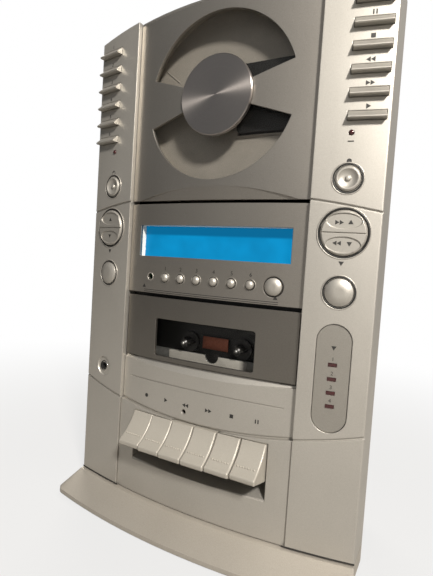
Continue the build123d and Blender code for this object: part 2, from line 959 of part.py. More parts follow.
with BuildPart() as cd_turntable:
    add(rod_y(0, disc_height, disc_seat_depth, disc_seat_depth + 3, turntable_radius))
    add(rod_y(0, disc_height, disc_seat_depth - 2.2, disc_seat_depth, disc_hole_radius))
    chamfer(cd_turntable.edges().filter_by(GeomType.CIRCLE).sort_by(Axis.Y)[0], 1.4)
    add(rod_y(0, disc_height, disc_seat_depth + 3, deck_plate_depth + 12, 1.0))
cd_turntable.part.label = "cd_turntable"
export_step(cd_turntable.part, "parts/cd_turntable.step")

pickup_front_depth = deck_front_depth + 0.9
with BuildPart() as cd_pickup:
    add(
        box_between(
            (pickup_rest_x, front_y + pickup_front_depth, disc_height - slot_half_height + 0.4),
            (
                pickup_rest_x + pickup_width,
                front_y + deck_plate_depth + 6,
                disc_height + slot_half_height - 0.4,
            ),
        )
    )
    lens_x = pickup_rest_x + pickup_width / 2
    add(rod_y(lens_x, disc_height, pickup_front_depth - 0.6, pickup_front_depth, 3.5))
cd_pickup.part.label = "cd_pickup"
export_step(cd_pickup.part, "parts/cd_pickup.step")

# Cassette door: sunk bowed plate on two cheeks that reach down to its hinge pins

cheek_x = 57.5
cheek_wall = 2.0
arm_neck_height = 117.0
sheet_margin = 3.0
with BuildPart() as cassette_door:
    add(
        bowed_block(
            -cassette_door_half_width,
            cassette_door_half_width,
            cassette_door_low,
            cassette_door_high,
            centre_sink,
            centre_back_sink,
        )
    )
    with BuildSketch(Plane.XZ):
        with Locations((0, (tape_window_low + tape_window_high) / 2)):
            RectangleRounded(2 * tape_window_half_width, tape_window_high - tape_window_low, 2)
    extrude(amount=far, both=True, mode=Mode.SUBTRACT)
    for side in (-1, 1):
        inner = min(side * cheek_x, side * (cheek_x + cheek_wall))
        cheek_front = bow_y(cheek_x, centre_sink + wall / 2)
        hinge_y = front_y + tape_hinge_depth
        with BuildSketch(Plane.YZ.offset(inner)):
            with BuildLine():
                Polyline(
                    (cheek_front, arm_neck_height),
                    (cheek_front, cassette_door_high - 4),
                    (hinge_y + 1, cassette_door_high - 4),
                    (hinge_y + 3, tape_hinge_height),
                    (hinge_y - 1, tape_hinge_height),
                    (hinge_y - 1, arm_neck_height),
                    close=True,
                )
            make_face()
            with Locations((hinge_y, tape_hinge_height)):
                Circle(3)
        extrude(amount=cheek_wall)
        left, right = sorted((side * cheek_x, side * (cheek_x + cheek_wall + 4.4)))
        add(rod_x(left, right, tape_hinge_depth, tape_hinge_height, pin_radius))
cassette_door.part.label = "cassette_door"
export_step(cassette_door.part, "parts/cassette_door.step")

with BuildPart() as cassette_window:
    add(
        bowed_block(
            -tape_window_half_width - sheet_margin,
            tape_window_half_width + sheet_margin,
            tape_window_low - 1.2,
            tape_window_high + sheet_margin,
            centre_back_sink + hair,
            centre_back_sink + hair + clear_sheet,
        )
    )
cassette_window.part.label = "cassette_window"
export_step(cassette_window.part, "parts/cassette_window.step")

# Lower panel: sunk bowed plate with a bevelled lip, the key opening and a sloping sill

lip_rise = lip_high - lip_centre_height
lip_bevel = 2.5
lip_backing = 1.8
with BuildPart() as lip_tool:
    with BuildSketch(Plane.XZ):
        with BuildLine():
            ThreePointArc(
                (-centre_half_width, lip_end_height),
                (0, lip_centre_height),
                (centre_half_width, lip_end_height),
            )
            Polyline(
                (centre_half_width, lip_end_height),
                (centre_half_width, lip_high + 1),
                (-centre_half_width, lip_high + 1),
                (-centre_half_width, lip_end_height),
            )
        make_face()
    extrude(amount=far, both=True)
    with BuildSketch(Plane.XY.offset(lip_centre_height - 1)):
        with Locations((0, bow_axis_y)):
            Circle(bow_radius - centre_sink + 5)
    extrude(amount=lip_rise + 3, mode=Mode.INTERSECT)
    with BuildSketch(Plane.XY.offset(lip_centre_height)):
        with Locations((0, bow_axis_y)):
            Circle(bow_radius - centre_sink)
    with BuildSketch(Plane.XY.offset(lip_high + 1)):
        with Locations((0, bow_axis_y)):
            Circle(bow_radius - centre_sink - lip_bevel)
    loft(ruled=True, mode=Mode.SUBTRACT)

engraved_height = 98.0
engraved_half_width = 60.0
microphone_x = -10.2
microphone_height = 81.9
microphone_radius = 1.7
sill_sink = 1.6
sill_depth = 18.0
sill_rise = 5.6
well_side_wall = 1.5
with BuildPart() as lower_panel:
    add(
        bowed_block(
            -centre_half_width, centre_half_width, body_base_height, key_opening_high + 10,
            apron_sink, centre_back_sink
        )
    )
    with BuildSketch(Plane.XZ):
        with Locations((0, lower_groove_base + lower_groove_radius)):
            Circle(lower_groove_radius + groove_width / 2)
    extrude(amount=far, both=True, mode=Mode.SUBTRACT)
    add(
        bowed_block(
            -centre_half_width, centre_half_width, body_base_height, lip_high, centre_sink, centre_back_sink
        )
    )
    add(
        bowed_block(
            -cheek_x + 1.5, cheek_x - 1.5, lip_centre_height - 4, lip_high,
            centre_back_sink - hair, centre_back_sink + lip_backing
        )
    )
    for left in (-centre_half_width, centre_half_width - rib):
        add(bowed_block(left, left + rib, body_base_height, lip_high - 8, centre_sink, frame_sink - hair))
    add(lip_tool.part, mode=Mode.SUBTRACT)
    add(face_groove(lower_groove_base, lower_groove_radius, False, centre_sink), mode=Mode.SUBTRACT)
    add(
        box_between(
            (-key_opening_half_width, front_y - 5, key_opening_low),
            (key_opening_half_width, front_y + 30, key_opening_high),
        ),
        mode=Mode.SUBTRACT,
    )
    add(
        bowed_block(
            -engraved_half_width, engraved_half_width, engraved_height, engraved_height + 0.5,
            centre_sink - 1, centre_sink + 0.4,
        ),
        mode=Mode.SUBTRACT,
    )
    add(rod_y(microphone_x, microphone_height, 0, 10, microphone_radius), mode=Mode.SUBTRACT)
    sill_back = front_y + sill_depth
    outer_well = key_opening_half_width + well_side_wall
    with BuildPart(mode=Mode.PRIVATE) as key_well:
        with BuildSketch(Plane.YZ.offset(-outer_well)):
            with BuildLine():
                Polyline(
                    (front_y, key_opening_low - 1.5),
                    (front_y, key_opening_low),
                    (front_y + sill_sink, key_opening_low),
                    (sill_back, key_opening_low + sill_rise),
                    (sill_back, key_opening_low + sill_rise - 2),
                    (front_y + sill_sink + 4, key_opening_low - 1.5),
                    close=True,
                )
            make_face()
        extrude(amount=2 * outer_well)
        for side in (-1, 1):
            inner, outer = sorted((side * key_opening_half_width, side * outer_well))
            add(
                box_between(
                    (inner, front_y, key_opening_low - 1.5), (outer, sill_back, key_opening_high)
                )
            )
        add(
            bowed_block(-outer_well, outer_well, 0, key_opening_high, sill_sink, 25),
            mode=Mode.INTERSECT,
        )
    add(key_well.part)
lower_panel.part.label = "lower_panel"
export_step(lower_panel.part, "parts/lower_panel.step")

# Piano keys: concave faces that flare to a nose, on arms that turn on one rod

key_width = key_pitch - key_gap
key_names = ("record_key", "play_key", "rewind_key", "fast_forward_key", "stop_key", "pause_key")
key_top_height = key_opening_high - 0.4


def piano_key(x):
    """One key, its cap and the arm back to the rod."""
    offset = bow_y(abs(x)) - front_y
    cap_top = front_y + offset + 0.5
    nose = front_y + offset - key_nose_reach
    back = front_y + offset + 9.0
    pivot_y = front_y + key_pivot_depth
    low = key_nose_height - 2.4
    with BuildPart() as key:
        with BuildSketch(Plane.YZ.offset(x)):
            with BuildLine():
                ThreePointArc(
                    (cap_top, key_top_height),
                    (cap_top - 5.5, key_top_height - 8.8),
                    (nose, key_nose_height),
                )
                Polyline(
                    (nose, key_nose_height),
                    (nose + 0.4, low - 0.9),
                    (front_y + offset + 1.0, low - 5.0),
                    (back, low - 4.0),
                    (back, key_top_height),
                    (cap_top, key_top_height),
                )
            make_face()
            fillet(vertices().sort_by(Axis.X)[:2], key_nose_round)
        extrude(amount=key_width / 2, both=True)
        fillet(key.edges().filter_by(GeomType.CIRCLE).sort_by(SortBy.LENGTH)[-2:], key_edge_round)
        with BuildSketch(Plane.YZ.offset(x)):
            with BuildLine():
                Polyline(
                    (back - 2, low),
                    (back - 2, key_pivot_height + 4),
                    (pivot_y, key_pivot_height + 3.4),
                    (pivot_y, key_pivot_height - 3.4),
                    close=True,
                )
            make_face()
            with Locations((pivot_y, key_pivot_height)):
                Circle(3.4)
        extrude(amount=2.5, both=True)
        add(
            rod_x(x - 4, x + 4, key_pivot_depth, key_pivot_height, rod_radius + running_gap),
            mode=Mode.SUBTRACT,
        )
    return key.part


for number, name in enumerate(key_names):
    key_part = piano_key((number - 2.5) * key_pitch)
    key_part.label = name
    export_step(key_part, f"parts/{name}.step")

# Tape chassis: plate with cheeks, the key rod, standoffs and the capstan's bearing

chassis_half_width = 56.0
chassis_low = 80.0
chassis_high = 157.0
chassis_back_depth = chassis_depth + chassis_wall
standoff_x = 64.5
flywheel_depth = 33.0
stud_x = 18.0
stud_height = 90.0
stud_radius = 1.5
cover_half_width = 50.0
cover_low = 99.5
cover_high = 120.0
cover_depth = 20.5
with BuildPart() as tape_chassis:
    add(
        box_between(
            (-chassis_half_width, front_y + chassis_depth, chassis_low),
            (chassis_half_width, front_y + chassis_back_depth, chassis_high),
        )
    )
    for side in (-1, 1):
        inner, outer = sorted((side * (chassis_half_width - 1.5), side * chassis_half_width))
        add(
            box_between(
                (inner, front_y + chassis_depth, key_pivot_height - 6),
                (outer, front_y + chassis_depth + 15, chassis_high),
            )
        )
        for z in (chassis_low + 6, chassis_high - 6):
            left, right = sorted((side * (chassis_half_width - 1), side * (standoff_x + 4)))
            add(
                box_between(
                    (left, front_y + chassis_depth, z - 4), (right, front_y + chassis_back_depth, z + 4)
                )
            )
            frame_back = bow_y(standoff_x + 3.5, frame_sink + frame_wall) - front_y
            add(rod_y(side * standoff_x, z, frame_back + hair, chassis_depth, 3.5))
        add(
            rod_y(side * reel_pitch / 2, reel_height, chassis_depth - 1, chassis_back_depth + 1, 2.0),
            mode=Mode.SUBTRACT,
        )
    add(rod_x(-chassis_half_width, chassis_half_width, key_pivot_depth, key_pivot_height, rod_radius))
    add(rod_y(capstan_x, capstan_height, chassis_depth, flywheel_depth - 0.5, 4.0))
    add(
        rod_y(capstan_x, capstan_height, chassis_depth - 1, flywheel_depth, 1.25 + running_gap),
        mode=Mode.SUBTRACT,
    )
    for x in (-stud_x, stud_x):
        add(rod_y(x, stud_height, chassis_depth - 3.2, chassis_depth, stud_radius))
    add(box_between((-6, front_y + chassis_depth - 1.6, 124.6), (6, front_y + chassis_depth, 131.6)))
    add(
        box_between(
            (-cover_half_width, front_y + cover_depth, cover_low),
            (cover_half_width, front_y + cover_depth + 1.5, cover_high),
        )
    )
    add(rod_y(0, cover_high, cover_depth - 1, cover_depth + 2, 5.5), mode=Mode.SUBTRACT)
    add(rod_y(capstan_x, capstan_height, cover_depth - 1, cover_depth + 2, 2.5), mode=Mode.SUBTRACT)
    for x in (-cover_half_width + 5, cover_half_width - 5):
        for z in (cover_low + 4, cover_high - 4):
            add(rod_y(x, z, cover_depth + 1, chassis_depth, 2.0))
tape_chassis.part.label = "tape_chassis"
export_step(tape_chassis.part, "parts/tape_chassis.step")


def reel_spindle(x):
    """Splined hub on a base disc, with its shaft through the chassis to a pulley."""
    with BuildPart() as spindle:
        add(rod_y(x, reel_height, reel_tip_depth, chassis_depth - 2.4, 2.9))
        chamfer(spindle.edges().filter_by(GeomType.CIRCLE).sort_by(Axis.Y)[0], 1.2)
        add(rod_y(x, reel_height, chassis_depth - 2.6, chassis_depth - 0.4, 7.5))
        add(rod_y(x, reel_height, chassis_depth - 0.5, chassis_back_depth + 0.5, 2.0 - running_gap))
        add(rod_y(x, reel_height, chassis_back_depth + 0.4, chassis_back_depth + 3, 5.0))
        with BuildSketch(Plane.XZ.offset(-(front_y + reel_tip_depth + 2.5))):
            with Locations((x, reel_height)):
                with PolarLocations(0, 3):
                    with Locations((3.2, 0)):
                        Rectangle(2.2, 1.1)
        extrude(amount=-(chassis_depth - 2.6 - reel_tip_depth - 2.5))
    return spindle.part


for side, name in ((-1, "supply_spindle"), (1, "take_up_spindle")):
    spindle_part = reel_spindle(side * reel_pitch / 2)
    spindle_part.label = name
    export_step(spindle_part, f"parts/{name}.step")

with BuildPart() as capstan_flywheel:
    add(rod_y(capstan_x, capstan_height, flywheel_depth, flywheel_depth + 6, flywheel_radius))
    add(
        rod_y(capstan_x, capstan_height, flywheel_depth + 2, flywheel_depth + 6, flywheel_radius - 4),
        mode=Mode.SUBTRACT,
    )
    add(rod_y(capstan_x, capstan_height, flywheel_depth, flywheel_depth + 6, 4.0))
    add(rod_y(capstan_x, capstan_height, reel_tip_depth + 1, flywheel_depth + 1, 1.25))
capstan_flywheel.part.label = "capstan_flywheel"
export_step(capstan_flywheel.part, "parts/capstan_flywheel.step")

# Head bridge: plate that slides up, with the heads on it and slots over two guide studs

bridge_low = chassis_low + 2.0
bridge_high = stud_height + 3.0
plate_front = front_y + chassis_depth - 2.2
plate_back = front_y + chassis_depth - 0.6
head_front = front_y + reel_tip_depth + 1
with BuildPart() as head_bridge:
    add(box_between((-26, plate_front, bridge_low), (26, plate_back, bridge_high)))
    for x in (-stud_x, stud_x):
        with BuildSketch(Plane.XZ.offset(-plate_front)):
            with Locations((x, stud_height - head_travel / 2)):
                SlotOverall(head_travel + 2 * (stud_radius + hair), 2 * (stud_radius + hair), rotation=90)
        extrude(amount=-10, mode=Mode.SUBTRACT)
    add(box_between((-6, head_front, bridge_high - 7), (6, plate_back, bridge_high - 0.5)))
    add(box_between((-15, head_front, bridge_high - 7), (-9, plate_back, bridge_high - 1.5)))
head_bridge.part.label = "head_bridge"
export_step(head_bridge.part, "parts/head_bridge.step")

# Inner frame: bowed plate behind the panels, open for each unit, with its screw posts

frame_half_width = body_half_width - return_wall - 0.4
bay_low = 81.5
post_x = 77.0
post_heights = (48.0, 190.0, 300.0)
post_depth = 60.0
screw_radius = 1.5
with BuildPart() as front_frame:
    add(
        bowed_block(
            -frame_half_width,
            frame_half_width,
            body_base_height + wall + 0.2,
            crown_height,
            frame_sink,
            frame_sink + frame_wall,
        )
    )
    add(
        arched_block(-frame_half_width, frame_half_width, body_base_height + wall + 0.2, wall + 0.3),
        mode=Mode.INTERSECT,
    )
    openings = (
        (seam_x, door_swing_low, crown_height + 1),
        (lcd_half_width + lcd_rim + 0.3, lcd_low - lcd_rim - 0.3, lcd_high + lcd_rim + 0.3),
        (cheek_x + cheek_wall + 1.3, bay_low, cassette_door_high - 1),
        (outer_well + 0.5, key_opening_low - 3.5, key_opening_high + 1),
    )
    for half_width, low, high in openings:
        add(
            box_between((-half_width, front_y, low), (half_width, front_y + 30, high)),
            mode=Mode.SUBTRACT,
        )
    for side in (-1, 1):
        inner, outer = sorted(
            (side * (cheek_x + cheek_wall + 1.3), side * (cheek_x + cheek_wall + 4.6))
        )
        frame_here = bow_y(cheek_x + cheek_wall + 4.6, frame_sink + frame_wall)
        add(
            box_between(
                (inner, front_y + tape_hinge_depth - 3.6, tape_hinge_height - 4),
                (outer, frame_here, tape_hinge_height + 4),
            )
        )
        for z in post_heights:
            plate_depth = bow_y(post_x, frame_sink) - front_y + 1
            add(rod_y(side * post_x, z, plate_depth, post_depth, 4.5))
            add(
                rod_y(side * post_x, z, post_depth - 14, post_depth + 1, screw_radius + 0.05),
                mode=Mode.SUBTRACT,
            )
        with BuildSketch(face_plane(side * control_x, lamp_height, frame_sink)):
            Circle(3)
        extrude(amount=2 * frame_wall, both=True, mode=Mode.SUBTRACT)
    add(
        rod_x(-seam_x + 3, seam_x - 3, tape_hinge_depth, tape_hinge_height, pin_radius + running_gap),
        mode=Mode.SUBTRACT,
    )
    add(
        box_between(
            (jack_x - 6, front_y, jack_height - 6), (jack_x + 6, front_y + 45, jack_height + 6)
        ),
        mode=Mode.SUBTRACT,
    )
front_frame.part.label = "front_frame"
export_step(front_frame.part, "parts/front_frame.step")

# Rear cabinet: tapering shell with a roof over the disc door, bosses and vents

cabinet_front_y = return_y + 0.3
cabinet_back_depth = back_plate_y - front_y
main_board_depth = 88.0
boss_radius = 5.5
screw_seat_depth = post_depth + 4
foot_screws = [(x, front_y + depth) for x in (-60, 60) for depth in (50, 80)]
vent_count = 11
vent_pitch = 8.0
socket_row_height = 60.0


def cabinet_section(y, half_width, top_drop, low, corner):
    """Outline of the rear cabinet on the upright plane at y."""
    shoulder = arch_height(half_width) - top_drop
    with BuildSketch(Plane.XZ.offset(-y)) as section:
        with BuildLine():
            ThreePointArc((-half_width, shoulder), (0, arch_height(0) - top_drop), (half_width, shoulder))
            Polyline((half_width, shoulder), (half_width, low), (-half_width, low), (-half_width, shoulder))
        make_face()
        fillet(section.vertices(), corner)
    return section.sketch


with BuildPart() as cabinet_hollow:
    loft(
        [
            cabinet_section(
                cabinet_front_y - 1,
                body_half_width - front_inset - wall,
                front_inset + wall,
                body_base_height + wall,
                cabinet_corner - wall,
            ),
            cabinet_section(
                back_plate_y - wall,
                back_half_width - wall,
                back_top_drop + wall,
                body_base_height + wall,
                cabinet_corner - wall,
            ),
        ]
    )

with BuildPart() as roof_plate:
    add(
        bowed_prism(
            -centre_half_width,
            centre_half_width,
            crown_height - 30,
            crown_height,
            centre_sink + 0.6,
            cabinet_front_y + 4,
        )
    )
    add(arched_block(-seam_x, seam_x, 0), mode=Mode.INTERSECT)
    add(arched_block(-seam_x, seam_x, 0, roof_wall), mode=Mode.SUBTRACT)

with BuildPart() as rear_cabinet:
    loft(
        [
            cabinet_section(
                cabinet_front_y, body_half_width - front_inset, front_inset, body_base_height, cabinet_corner
            ),
            cabinet_section(
                back_plate_y, back_half_width, back_top_drop, body_base_height, cabinet_corner
            ),
        ]
    )
    add(cabinet_hollow.part, mode=Mode.SUBTRACT)
    add(roof_plate.part)
    for side in (-1, 1):
        for z in post_heights:
            add(rod_y(side * post_x, z, post_depth + 0.2, cabinet_back_depth - 1, boss_radius))
            add(
                rod_y(side * post_x, z, screw_seat_depth, cabinet_back_depth + 1, 3.3),
                mode=Mode.SUBTRACT,
            )
            add(
                rod_y(side * post_x, z, post_depth - 1, screw_seat_depth + 1, screw_radius + 0.2),
                mode=Mode.SUBTRACT,
            )
    for x, y in foot_screws:
        with BuildSketch(Plane.XY.offset(body_base_height + 1)):
            with Locations((x, y)):
                Circle(4.0)
        extrude(amount=9)
        with BuildSketch(Plane.XY.offset(body_base_height - 1)):
            with Locations((x, y)):
                Circle(screw_radius + 0.05)
        extrude(amount=12, mode=Mode.SUBTRACT)
    for number in range(vent_count):
        x = (number - (vent_count - 1) / 2) * vent_pitch
        for z in (215.0, 275.0):
            with BuildSketch(Plane.XZ.offset(-back_plate_y)):
                with Locations((x, z)):
                    SlotOverall(50, 3, rotation=90)
            extrude(amount=2 * wall, both=True, mode=Mode.SUBTRACT)
    with BuildSketch(Plane.XZ.offset(-back_plate_y)):
        with Locations((-45, socket_row_height)):
            Rectangle(44, 16)
        with Locations((5, socket_row_height), (22, socket_row_height)):
            Circle(5)
        with Locations((50, socket_row_height)):
            Circle(4.5)
    extrude(amount=2 * wall, both=True, mode=Mode.SUBTRACT)
    for x in (-64, 64):
        for z in (36, 142):
            add(rod_y(x, z, main_board_depth + board_wall, cabinet_back_depth - 1, 3.0))
rear_cabinet.part.label = "rear_cabinet"
export_step(rear_cabinet.part, "parts/rear_cabinet.step")

# Case screws, six from the back and four up through the foot

with BuildPart() as case_screws:
    for side in (-1, 1):
        for z in post_heights:
            add(rod_y(side * post_x, z, post_depth - 12, post_depth + 4.2, screw_radius))
            add(rod_y(side * post_x, z, post_depth + 4.1, post_depth + 6.3, 3.0))
            add(rod_y(side * post_x, z, post_depth + 5.3, post_depth + 6.4, 1.2), mode=Mode.SUBTRACT)
    for x, y in foot_screws:
        with BuildSketch(Plane.XY.offset(foot_top_height - foot_wall - 2.2)):
            with Locations((x, y)):
                Circle(3.0)
        extrude(amount=2.1)
        with BuildSketch(Plane.XY.offset(foot_top_height - foot_wall - 0.2)):
            with Locations((x, y)):
                Circle(screw_radius)
        extrude(amount=12)
case_screws.part.label = "case_screws"
export_step(case_screws.part, "parts/case_screws.step")

# Circuit boards: two switch boards, the preset board and the main board

switch_top = button_stem_end + button_travel + 0.4
switch_board_high = 344.0
left_board_low = 110.0
right_board_low = 98.0
socket_depth = main_board_depth + board_wall


def switch_block(x, z, base_sink, top_sink, width, height):
    """Small switch standing on its board towards the face."""
    with BuildPart() as block:
        with BuildSketch(face_plane(x, z, base_sink)):
            Rectangle(width, height)
        extrude(amount=base_sink - top_sink)
    return block.part


with BuildPart() as circuit_boards:
    for side, board_low in ((-1, left_board_low), (1, right_board_low)):
        board_middle = (switch_board_high + board_low) / 2
        with BuildSketch(face_plane(side * 92, board_middle, board_sink)):
            Rectangle(24, switch_board_high - board_low)
        extrude(amount=-board_wall)
        for low in bar_heights():
            add(
                switch_block(
                    side * bar_centre_x, low + bar_height / 2, board_sink + hair, switch_top, 6, 6
                )
            )
        for z in (small_knob_height, plain_button_height):
            add(switch_block(side * control_x, z, board_sink + hair, switch_top, 6, 6))
        for rise in (-8, 8):
            add(
                switch_block(
                    side * control_x, rocker_height + rise, board_sink + hair, switch_top + hair, 6, 6
                )
            )
        add(
            switch_block(
                side * control_x,
                rocker_height,
                board_sink + hair,
                rocker_pivot_depth + rocker_fulcrum_radius + 0.2,
                rocker_fulcrum_width,
                2 * rocker_fulcrum_radius,
            )
        )
    add(bowed_block(-60, 60, 163, 183, board_sink + 0.3, board_sink + board_wall))
    preset_switch_top = centre_sink + preset_stem + preset_travel + 0.3
    for x in preset_xs + [memory_x]:
        add(switch_block(x, preset_height, board_sink + 0.4, preset_switch_top, 5, 5))
    add(
        box_between(
            (-70, front_y + main_board_depth, 30), (70, front_y + socket_depth, 150)
        )
    )
    add(
        box_between(
            (20, front_y + main_board_depth - 34, 90), (62, front_y + main_board_depth, 135)
        )
    )
    add(
        box_between(
            (-66, front_y + socket_depth, socket_row_height - 7),
            (-24, back_plate_y + 1.5, socket_row_height + 7),
        )
    )
    for x in (5, 22):
        add(rod_y(x, socket_row_height, socket_depth, cabinet_back_depth + 2, 4.4))
    add(rod_y(50, socket_row_height, socket_depth, cabinet_back_depth + 0.5, 4.0))
    for x, z in ((-50, 130), (-35, 130), (-50, 110), (-20, 120)):
        add(rod_y(x, z, main_board_depth - 18, main_board_depth, 6))
circuit_boards.part.label = "circuit_boards"
export_step(circuit_boards.part, "parts/circuit_boards.step")

# Foot: plinth that splays forward under the bowed face, hollow underneath


def foot_section(height, share, corner, inset=0.0):
    """Plan outline of the foot at a height; share is how much of its forward splay it has."""
    front_half_width = body_half_width + foot_side_flare * share
    lead = foot_reach * share
    right_side = [
        (front_half_width, bow_y(front_half_width) - lead),
        (body_half_width, bow_y(body_half_width) + foot_splay_start),
        (body_half_width, return_y),
        (back_half_width, back_y),
    ]
    left_side = [(-x, y) for x, y in reversed(right_side)]
    with BuildSketch(Plane.XY.offset(height)) as section:
        with BuildLine():
            ThreePointArc(left_side[-1], (0, front_y - lead), right_side[0])
            Polyline(*right_side, *left_side)
        make_face()
        fillet(section.vertices().sort_by(Axis.Y)[:2], corner)
        if inset:
            offset(amount=-inset, kind=Kind.INTERSECTION)
    return section.sketch


with BuildPart() as base_foot:
    loft(
        [
            foot_section(foot_top_height, foot_top_share, edge_round + 0.5),
            foot_section(rim_height, 1.0, foot_corner),
        ]
    )
    extrude(foot_section(pad_height, 1.0, foot_corner), amount=rim_height - pad_height)
    extrude(
        foot_section(pad_height, foot_top_share, edge_round + 0.5, foot_inset),
        amount=foot_top_height - foot_wall - pad_height,
        mode=Mode.SUBTRACT,
    )
    add(
        box_between(
            (-back_half_width, front_y + return_depth + 4, foot_top_height - 1),
            (back_half_width, back_y - 14, body_base_height),
        )
    )
    for x, y in foot_screws:
        with Locations((x, y, foot_top_height)):
            Cylinder(screw_radius + 0.2, 20, mode=Mode.SUBTRACT)
base_foot.part.label = "base_foot"
export_step(base_foot.part, "parts/base_foot.step")

with BuildPart() as foot_pads:
    with BuildSketch(Plane.XY):
        for side in (-1, 1):
            with Locations(
                (side * front_pad_x, front_y + 5),
                (side * (back_half_width - pad_radius - 3), back_y - 12),
            ):
                Circle(pad_radius)
    extrude(amount=pad_height)
foot_pads.part.label = "foot_pads"
export_step(foot_pads.part, "parts/foot_pads.step")
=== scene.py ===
"""Looks of an upright silver disc and cassette player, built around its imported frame."""

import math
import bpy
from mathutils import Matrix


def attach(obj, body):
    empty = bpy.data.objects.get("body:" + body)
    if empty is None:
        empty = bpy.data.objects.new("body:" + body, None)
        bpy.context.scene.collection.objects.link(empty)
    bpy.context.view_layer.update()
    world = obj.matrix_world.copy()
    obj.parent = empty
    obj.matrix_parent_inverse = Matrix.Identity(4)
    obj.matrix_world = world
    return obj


bl_info = {
    "name": "Upright disc and cassette player",
    "version": (1, 0, 0),
    "blender": (4, 5, 0),
    "location": "3D View > Sidebar > Player",
    "description": "Finishes, marks and small fittings of an upright disc and cassette player",
    "category": "Object",
}

import bpy
from mathutils import Matrix, Vector

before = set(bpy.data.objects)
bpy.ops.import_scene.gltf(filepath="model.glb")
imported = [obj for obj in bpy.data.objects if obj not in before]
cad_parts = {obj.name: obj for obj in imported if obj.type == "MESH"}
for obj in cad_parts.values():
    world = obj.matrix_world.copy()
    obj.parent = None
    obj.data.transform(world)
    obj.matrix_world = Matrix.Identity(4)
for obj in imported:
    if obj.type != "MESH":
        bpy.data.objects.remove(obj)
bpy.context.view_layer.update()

MM = 0.001
SIDES = (-1, 1)

# The front: a bow about an upright axis, its middle set back from the side panels
BOW_RADIUS = 492.0 * MM
FRONT_Y = -39.0 * MM
BOW_AXIS_Y = FRONT_Y + BOW_RADIUS
CENTRE_SINK = 3.4 * MM

# Controls on the side panels
CONTROL_X = 88.3 * MM
SMALL_KNOB_RADIUS = 7.3 * MM
SMALL_KNOB_HEIGHT = 239.4 * MM
ROCKER_RADIUS = 13.3 * MM
ROCKER_HEIGHT = 208.0 * MM
PLAIN_BUTTON_RADIUS = 8.2 * MM
PLAIN_BUTTON_HEIGHT = 173.3 * MM
BAR_X = 95.9 * MM
BAR_TOP_ROW = 337.7 * MM
BAR_PITCH = 13.02 * MM
BAR_ROWS = 6
BAR_MARK_RISE = 7.5 * MM
JACK_X = -88.9 * MM
JACK_HEIGHT = 100.4 * MM
EQUALIZER_X = 87.9 * MM
EQUALIZER_LAMPS = (130.1 * MM, 121.5 * MM, 113.2 * MM, 105.1 * MM)
EQUALIZER_SINK = 0.8 * MM

# Units in the middle
KEY_PITCH = 17.5 * MM
KEY_NAMES = ("record_key", "play_key", "rewind_key", "fast_forward_key", "stop_key", "pause_key")
PRESETS = 6
PRESET_PITCH = 13.2 * MM
PRESET_HEIGHT = 173.4 * MM
MEMORY_X = 48.6 * MM
SENSOR_X = -46.6 * MM
DISC_HEIGHT = 295.8 * MM
REEL_X_MM = 21.25
REEL_HEIGHT_MM = 127.0

# Thin work
INK_THICKNESS = 0.12 * MM
# Dark rings of painted shade lie in the grooves round the controls, this far proud
GROOVE_SHADE_PROUD = 0.16 * MM
BEVEL_PROUD = 0.3 * MM
RING_STEPS = 48
CLOUD_SIZE = 45.0 * MM
GRAIN_HEIGHT = 0.05 * MM


def bow_y(x, sink=0.0):
    """Y of the bowed face at x, sink metres behind the side panels' surface."""
    return BOW_AXIS_Y - math.sqrt((BOW_RADIUS - sink) ** 2 - x * x)


def at(x, depth, z):
    """Point in metres from X, depth behind the front's crown and Z, all in mm."""
    return (x * MM, FRONT_Y + depth * MM, z * MM)


def row_x(number, count, pitch):
    """X of piece number, counted from 0, in a centred row of count pieces."""
    return (number - (count - 1) / 2) * pitch


# Colours and finishes


def linear(code):
    """Linear RGBA of an sRGB hex code such as #A0B0C0."""
    channels = [int(code[i : i + 2], 16) / 255 for i in (1, 3, 5)]
    levels = [c / 12.92 if c <= 0.04045 else ((c + 0.055) / 1.055) ** 2.4 for c in channels]
    return (*levels, 1.0)


def add_node(owner, kind, settings=None, values=None, links=None, stops=()):
    """Adds a node to a material or world, with settings, socket values, links and colour stops."""
    tree = owner.node_tree
    node = tree.nodes.new(kind)
    for key, value in (settings or {}).items():
        setattr(node, key, value)
    for key, value in (values or {}).items():
        node.inputs[key].default_value = value
    for key, (source, output) in (links or {}).items():
        tree.links.new(source.outputs[output], node.inputs[key])
    for number, (position, code) in enumerate(stops):
        node.color_ramp.elements[number].position = position
        node.color_ramp.elements[number].color = linear(code)
    return node


def new_material(name):
    """Empty material, and its node of object coordinates."""
    material = bpy.data.materials.new(name)
    material.use_nodes = True
    material.node_tree.nodes.clear()
    return material, add_node(material, "ShaderNodeTexCoord")


def noise(material, place, size, detail, roughness=0.5):
    """Noise on object coordinates, its largest patches about size metres across."""
    return add_node(
        material,
        "ShaderNodeTexNoise",
        values={"Scale": 1 / size, "Detail": detail, "Roughness": roughness},
        links={"Vector": (place, "Object")},
    )


def spread(material, source, low, high):
    """Spreads a noise over the values from low to high."""
    return add_node(
        material,
        "ShaderNodeMapRange",
        values={"To Min": low, "To Max": high},
        links={"Value": (source, "Fac")},
    )


